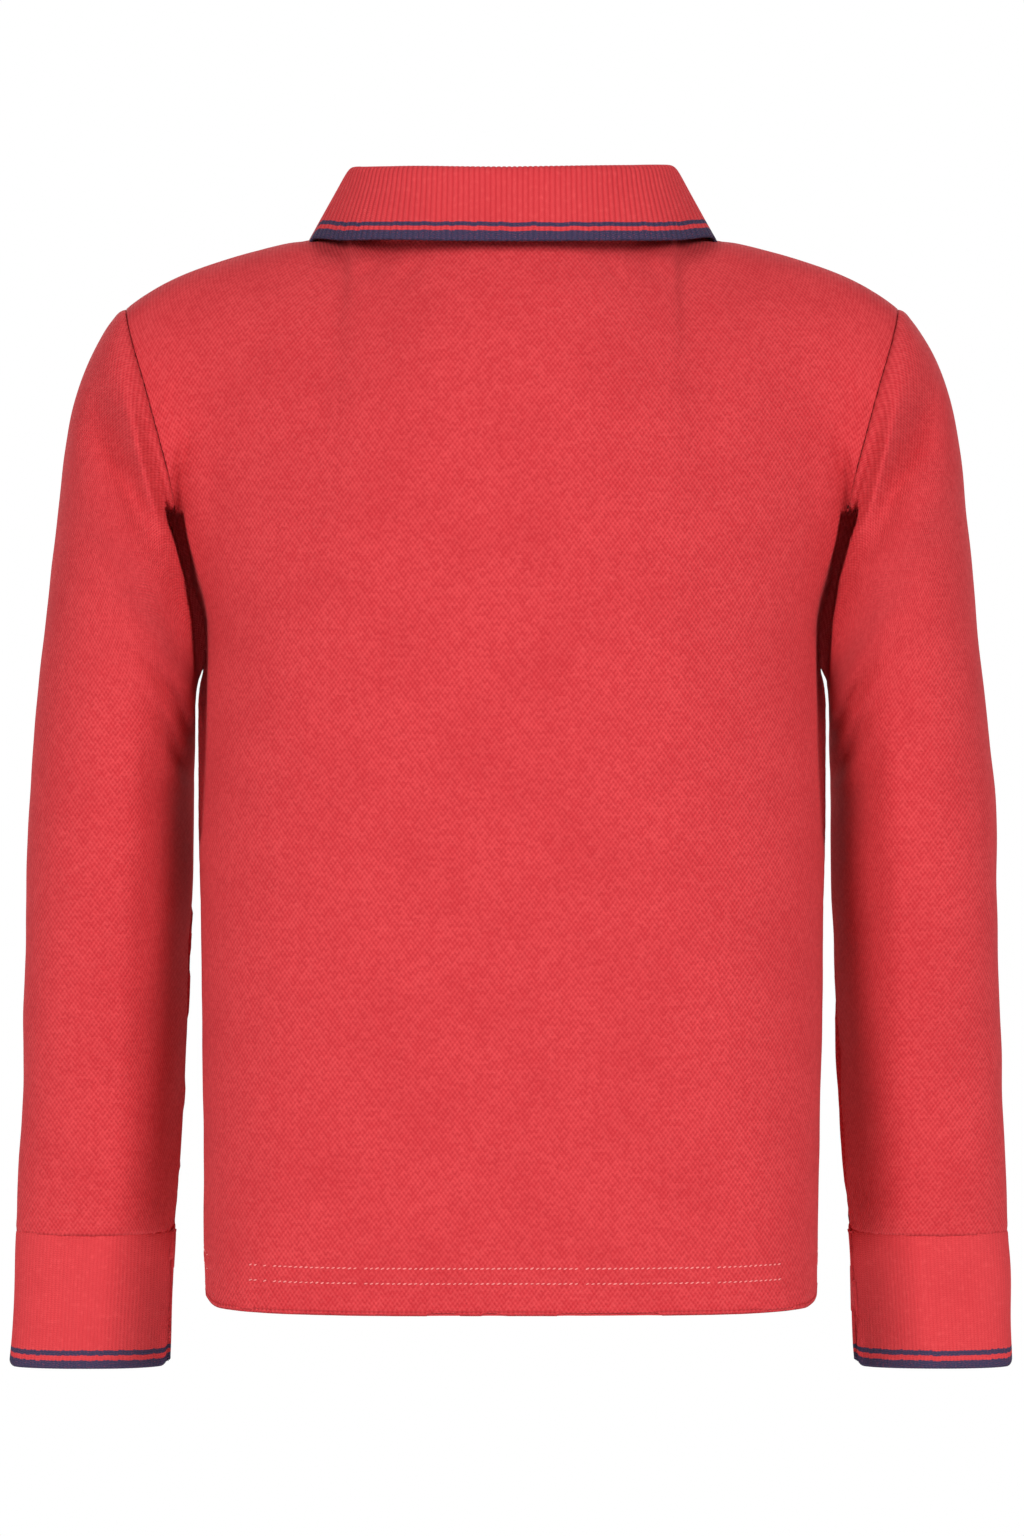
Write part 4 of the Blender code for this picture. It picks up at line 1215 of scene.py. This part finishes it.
def crests(points, closed):
    """Every second column: those that stand out."""
    even_columns, odd_columns = points[:, ::2], points[:, 1::2]
    if closed:
        middle = points.mean(axis=1, keepdims=True)
        far = [np.linalg.norm(p - middle, axis=2).mean() for p in (even_columns, odd_columns)]
        return even_columns if far[0] > far[1] else odd_columns
    ends = points[:, [0, -1]] + normals_of(points)[:, [0, -1]] * 0.45 * MM
    return np.concatenate((ends[:, :1], odd_columns, ends[:, 1:]), axis=1)


collar_net = net("collar", (0, 1, 0), (-0.3, 0, -1), (-1, 0, 0), 381, thin=1.0 * MM)
collar_net = crests(collar_net, False)
ribs = collar_net.shape[1] - 2
holds = []
for lower, upper in zip(collar_net, collar_net[1:]):
    holds.append(lower)
    if np.linalg.norm(upper - lower, axis=1).mean() > WIDE_STEP:
        holds += [lower + (upper - lower) * share for share in HOLDS]
collar_net = np.array(holds + [collar_net[-1]])
height = run_of(collar_net, 0)
ends = run_of(collar_net, 1)
rib_places = np.interp(np.arange(ribs * STEPS_PER_RIB + 1) / STEPS_PER_RIB,
                       np.concatenate(([0.0], np.arange(ribs) + 0.5, [ribs])), ends)
rows_at = graded((0, 8 * MM, 1.6 * MM), (8 * MM, 32 * MM, 2.6 * MM),
                 (32 * MM, 46 * MM, 1.1 * MM), (46 * MM, height[-1], 2.6 * MM))
points = laid(collar_net, rows_at, rib_places)
behind = np.clip(points[..., 1] / RISE_BEHIND, 0, 1)
outside = np.clip((RISE_END - rows_at[:, None]) / RISE_FADE, 0, 1)
points[..., 2] += COLLAR_RISE * behind * outside
points = lowered(points)
along = travelled(points, 0)
across = np.repeat(np.arange(points.shape[1])[None] / STEPS_PER_RIB * COLLAR_PITCH, len(rows_at), 0)
points = drifted(points, False, 0.05, 0.25 * MM, 61)
edge_wave = uneven_wave(across, 60 * MM, 62) * np.exp(-along / (9 * MM)) * 0.35 * MM
out = normals_of(points)
lift = edge_wave - carved(across / COLLAR_PITCH, RIB_DEPTH)
points = points + out * lift[..., None]
areas["collar"] = area_of(laid(collar_net, rows_at, ends))
collar = settle(cloth_piece("collar_rib_knit", points, across, along, collar_rib, RIB_CLOTH),
                "collar")
print(ribs, "ribs in the collar")

# %% [markdown]
# The cuffs are tubes of the same rib, finer and flatter. Their inner side turns forward
# with the sleeve's, their lower corners are a little round, and the free edge waves.

# %% Cuffs
for side, seed in (("left", 71), ("right", 83)):
    inward = -1 if side == "left" else 1
    cuff_net = crests(net(f"cuff_{side}", (0, 1, 0), (inward, 0, -20), (0, 1, 0), 216, True), True)
    ribs = cuff_net.shape[1]
    height = run_of(cuff_net, 0)[-1]
    rows_at = np.concatenate((even(0, CUFF_BANDS, 1.3 * MM),
                              CUFF_BANDS + places(height - CUFF_BANDS, 2.3 * MM, start=False)))
    points = turned_in(laid_round(cuff_net, rows_at, ribs * CUFF_STEPS))
    along = travelled(points, 0)
    columns = np.arange(points.shape[1])[None] + np.zeros((len(rows_at), 1))
    phase = columns / CUFF_STEPS + 0.5
    across = phase * CUFF_PITCH
    from_top = along[-1:] - along
    points = pressed(drifted(points, True, 0.045, 0.35 * MM, seed, from_top), True)
    left, right = ends_of(points[..., 0])
    from_end = np.minimum(points[..., 0] - left, right - points[..., 0])
    corner = np.clip(CUFF_ROUND - from_end, 0, CUFF_ROUND * 0.97)
    raised = CUFF_ROUND - np.sqrt(CUFF_ROUND ** 2 - corner ** 2)
    raised = raised * bell(along, 7 * MM)
    points = points + raised[..., None] * UP
    points[:, -1] = points[:, 0]
    out = normals_of(points, True)
    dip = 0.35 * MM * bell(from_top, SEAM_WIDTH)
    roll = 0.25 * MM * uneven_wave(across, 38 * MM, seed + 1) * np.exp(-along / (7 * MM))
    roll = roll * np.sin(np.pi * columns / columns[0, -1]) ** 2
    points = points + out * (roll - dip - carved(phase, CUFF_DEPTH))[..., None]
    points[:, -1] = points[:, 0]
    areas[f"cuff {side}"] = area_of(laid_round(cuff_net, rows_at, ribs))
    settle(cloth_piece(f"cuff_{side}_rib_knit", points, across, along, cuff_rib,
                                     RIB_CLOTH, closed=True), f"cuff_{side}")

# %% [markdown]
# ## Stitches round the hem
# A twin needle leaves two rows of short stitches, 11 to the inch, painted pale pink as
# a painted highlight for the thread's sheen. Each is a small rounded bar, sunk a little
# into the cloth and slanted, and no two lie quite alike.
# Where the hem turns round the side, the thread sinks in and hardly shows.

# %% Hem stitches
STITCH_PITCH = 2.27 * MM
STITCH_SLANT = 0.35
SUNK_BEFORE_END = 44 * MM
SUNK_WIDTH = 17 * MM
SKIPPED = 0.04
STITCH_SIZE = (1.65 * MM, 0.62 * MM, 0.40 * MM)


def stitch_row(points, across, along, height, at, slant=0.0):
    """Places, ways and outward directions of a row of stitches across a net."""
    row = int(np.argmin(np.abs(along[:, along.shape[1] // 2] - height)))

    def read(values, at):
        return np.stack([np.interp(at, across[row], values[row, :, k]) for k in range(3)], -1)

    centres, outs = read(points, at), read(normals_of(points), at)
    onward = read(points, at + 0.5 * MM) - centres
    return centres, onward + np.cross(outs, onward) * slant, outs


def smooth_mesh(bm, name, material):
    """A finished bmesh shape as a mesh with smooth faces and its material."""
    for face in bm.faces:
        face.smooth = True
    mesh = bpy.data.meshes.new(name)
    bm.to_mesh(mesh)
    bm.free()
    mesh.materials.append(material)
    return mesh


def bars(name, rows, size, material, seed):
    """One mesh of small rounded bars in rows, a little of each sunk into the cloth."""
    random = np.random.default_rng(seed)
    bm = bmesh.new()
    for centre, way, out in (stitch for row in rows for stitch in zip(*row)):
        way = way / np.linalg.norm(way)
        out = out - way * (out @ way)
        out /= np.linalg.norm(out)
        side = np.cross(out, way)
        tilt = random.uniform(-0.12, 0.12)
        way, side = way + side * tilt, side - way * tilt
        grow = random.uniform(0.88, 1.1, 3)
        turn = Matrix([[*row] for row in np.stack((way, side, out), axis=1)]).to_4x4()
        centre = centre + out * size[2] * 0.4 + side * random.uniform(-0.06, 0.06) * MM
        place = Matrix.Translation(Vector(centre)) @ turn
        stretch = Matrix.Diagonal((*[s / 2 * g for s, g in zip(size, grow)], 1.0))
        bmesh.ops.create_uvsphere(bm, u_segments=6, v_segments=4, radius=1.0,
                                  matrix=place @ stretch)
    bmesh.ops.recalc_face_normals(bm, faces=bm.faces)
    mesh = smooth_mesh(bm, name, material)
    print(f"{name}: {len(mesh.polygons)} faces")
    return placed(name, mesh)


for name, (points, across, along), seed in (("back", back_flat, 5), ("front", front_flat, 6)):
    rows = []
    reach = across[5, -1] - 2.0 * MM
    for height in HEM_ROWS:
        at = np.arange(-reach, reach, STITCH_PITCH)
        sunk = np.exp(-((np.abs(at) - reach + SUNK_BEFORE_END) / SUNK_WIDTH) ** 6) + SKIPPED
        at = at[np.random.default_rng(seed).uniform(size=len(at)) > sunk]
        rows.append(stitch_row(points, across, along, height, at, STITCH_SLANT))
    stitches = bars(f"hem_stitches_{name}", rows, STITCH_SIZE, hem_thread_painted_sheen, seed)
    settle(stitches, None)

# %% [markdown]
# ## Placket and buttons
# The front opening isn't in the picture, so it is a plain one: a sewn-on strip with
# edge stitching, an under strip in the slit, and two four-hole buttons. The buttons are
# fastened, so they hide their buttonholes.

# %% Placket
EDGE_INSET = 2.2 * MM
EDGE_PITCH = 2.4 * MM
EDGE_STITCH = (1.7 * MM, 0.42 * MM, 0.3 * MM)
CROSS_ROWS = (EDGE_INSET, EDGE_INSET + 9 * MM)

placket_pieces = {}
for node, columns, thick in (("placket_top", 5, 1.1 * MM), ("placket_under", 3, CLOTH)):
    strip = net(node, (0, -1, 0), (1, 0, -1), (-1, 0, 0), columns)
    width, height = run_of(strip, 1), run_of(strip, 0)
    rows_at, columns_at = places(height[-1], 2.0 * MM), places(width[-1], 1.5 * MM)
    points = laid(strip, rows_at, columns_at)
    along, across = travelled(points, 0), travelled(points, 1, len(columns_at) // 2)
    points = drifted(points, False, 0.03, 0.12 * MM, 91)
    out = normals_of(points)
    from_side = np.minimum(across - across[:, :1], across[:, -1:] - across)
    from_end = np.minimum(along, along[-1:] - along)
    edge = np.minimum(from_side, from_end)
    lift = -0.35 * MM * bell(edge, SEAM_WIDTH)
    if node == "placket_top":
        lift = lift - 0.22 * MM * bell(edge - EDGE_INSET, 0.7 * MM)
    points = points + out * lift[..., None]
    piece = cloth_piece(f"{node}_cloth", points, across, along, pique_cloth, thick)
    placket_pieces[node] = (settle(piece, node), points, across, along)
    areas[node] = area_of(points)

_, points, across, along = placket_pieces["placket_top"]
half_width, length = across[10, -1], along[-1, 10]
out, rows = normals_of(points), []
for sign in (-1, 1):
    column = int(np.argmin(np.abs(across[10] - sign * (half_width - EDGE_INSET))))
    run, line = along[:, column], points[:, column]
    heights = np.arange(EDGE_INSET, length - EDGE_INSET, EDGE_PITCH)
    at = np.minimum(np.argmin(np.abs(run - heights[:, None]), axis=1), len(points) - 2)
    share = ((heights - run[at]) / (run[at + 1] - run[at]))[:, None]
    rows.append((line[at] * (1 - share) + line[at + 1] * share, line[at + 1] - line[at],
                 out[at, column]))
at = np.arange(-half_width + EDGE_INSET, half_width - EDGE_INSET, EDGE_PITCH)
rows += [stitch_row(points, across, along, height, at) for height in CROSS_ROWS]
placket_stitches = settle(bars("placket_stitches", rows, EDGE_STITCH, seam_thread, 17),
                          None)

# %% [markdown]
# A button is a dished disc with a rolled rim and four holes, and sits where the packed
# model's button sits. Its thread crosses the holes in two pairs of strands.

# %% Buttons
BUTTON_SIZE = 5.0 * MM
HOLE_PLACE = 1.15 * MM
HOLE_SIZE = 0.55 * MM
THREAD_SIZE = (2.5 * MM, 0.34 * MM, 0.4 * MM)
DISH, THREAD_LEVEL = 0.62, 0.66
RIM = (
    # share of the radius, share of the thickness
    (0.70, 0.86), (0.80, 1.0), (0.90, 1.0), (0.97, 0.86), (1.0, 0.62), (0.98, 0.3),
    (0.88, 0.04), (0.5, 0.0),
)


def button(node):
    """A dished disc with a rolled rim and four holes, threads across them."""
    points = np.array([v.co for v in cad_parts[node].data.vertices])
    spread = points - points.mean(axis=0)
    axis = Vector(np.linalg.svd(spread - spread.mean(0), full_matrices=False)[2][-1])
    if axis.y > 0:
        axis.negate()
    depth = spread @ np.array(axis)
    place = Matrix.Translation(Vector(points.mean(axis=0)) + axis * float(depth.min()))
    turn = axis.to_track_quat("Z", "Y").to_matrix().to_4x4()
    thick = float(depth.max() - depth.min())
    bm = bmesh.new()
    bmesh.ops.create_circle(bm, segments=48, radius=0.60 * BUTTON_SIZE)
    for k in range(4):
        angle = np.pi / 4 + k * np.pi / 2
        shift = Matrix.Translation((HOLE_PLACE * np.cos(angle), HOLE_PLACE * np.sin(angle), 0.0))
        bmesh.ops.create_circle(bm, segments=12, radius=HOLE_SIZE, matrix=shift)
    bmesh.ops.triangle_fill(bm, edges=bm.edges, use_beauty=True)
    bmesh.ops.translate(bm, verts=bm.verts, vec=(0, 0, DISH * thick))
    rim_edges = [e for e in bm.edges if e.is_boundary
                 and all(v.co.to_2d().length > 0.5 * BUTTON_SIZE for v in e.verts)]
    hole_edges = [e for e in bm.edges if e.is_boundary and e not in rim_edges]
    for radius, height in RIM:
        grown = bmesh.ops.extrude_edge_only(bm, edges=rim_edges)["geom"]
        rim_edges = [g for g in grown if isinstance(g, bmesh.types.BMEdge)]
        for vert in {v for e in rim_edges for v in e.verts}:
            flat = vert.co.to_2d().normalized() * radius * BUTTON_SIZE
            vert.co = (flat.x, flat.y, height * thick)
    walls = bmesh.ops.extrude_edge_only(bm, edges=hole_edges)["geom"]
    for vert in [g for g in walls if isinstance(g, bmesh.types.BMVert)]:
        vert.co.z = 0.0
    lower = [e for e in bm.edges if e.is_boundary]
    bmesh.ops.triangle_fill(bm, edges=lower, use_beauty=True)
    bmesh.ops.recalc_face_normals(bm, faces=bm.faces)
    bmesh.ops.transform(bm, matrix=place @ turn, verts=bm.verts)
    mesh = smooth_mesh(bm, f"{node}_disc", button_plastic)
    mesh.set_sharp_from_angle(angle=np.radians(40))
    settle(placed(f"{node}_disc", mesh), node)
    across = np.array((place @ turn).to_3x3() @ Vector((1, 0, 0)))
    threads = []
    for y in (-HOLE_PLACE * np.sin(np.pi / 4), HOLE_PLACE * np.sin(np.pi / 4)):
        for lift in (0.0, 0.12 * MM):
            centre = place @ turn @ Vector((0, y + lift, THREAD_LEVEL * thick))
            threads.append((np.array(centre), across, np.array(axis)))
    settle(bars(f"{node}_thread", [zip(*threads)], THREAD_SIZE, seam_thread, 3), None)
    print(f"{node}: {thick / MM:.1f} mm thick")


for node in ("button_1", "button_2"):
    button(node)

# %% [markdown]
# ## The area of each cloth
# The area of each piece of cloth is printed, in square metres.

# %% Areas
print("areas in square metres:", {piece: round(area, 4) for piece, area in areas.items()})
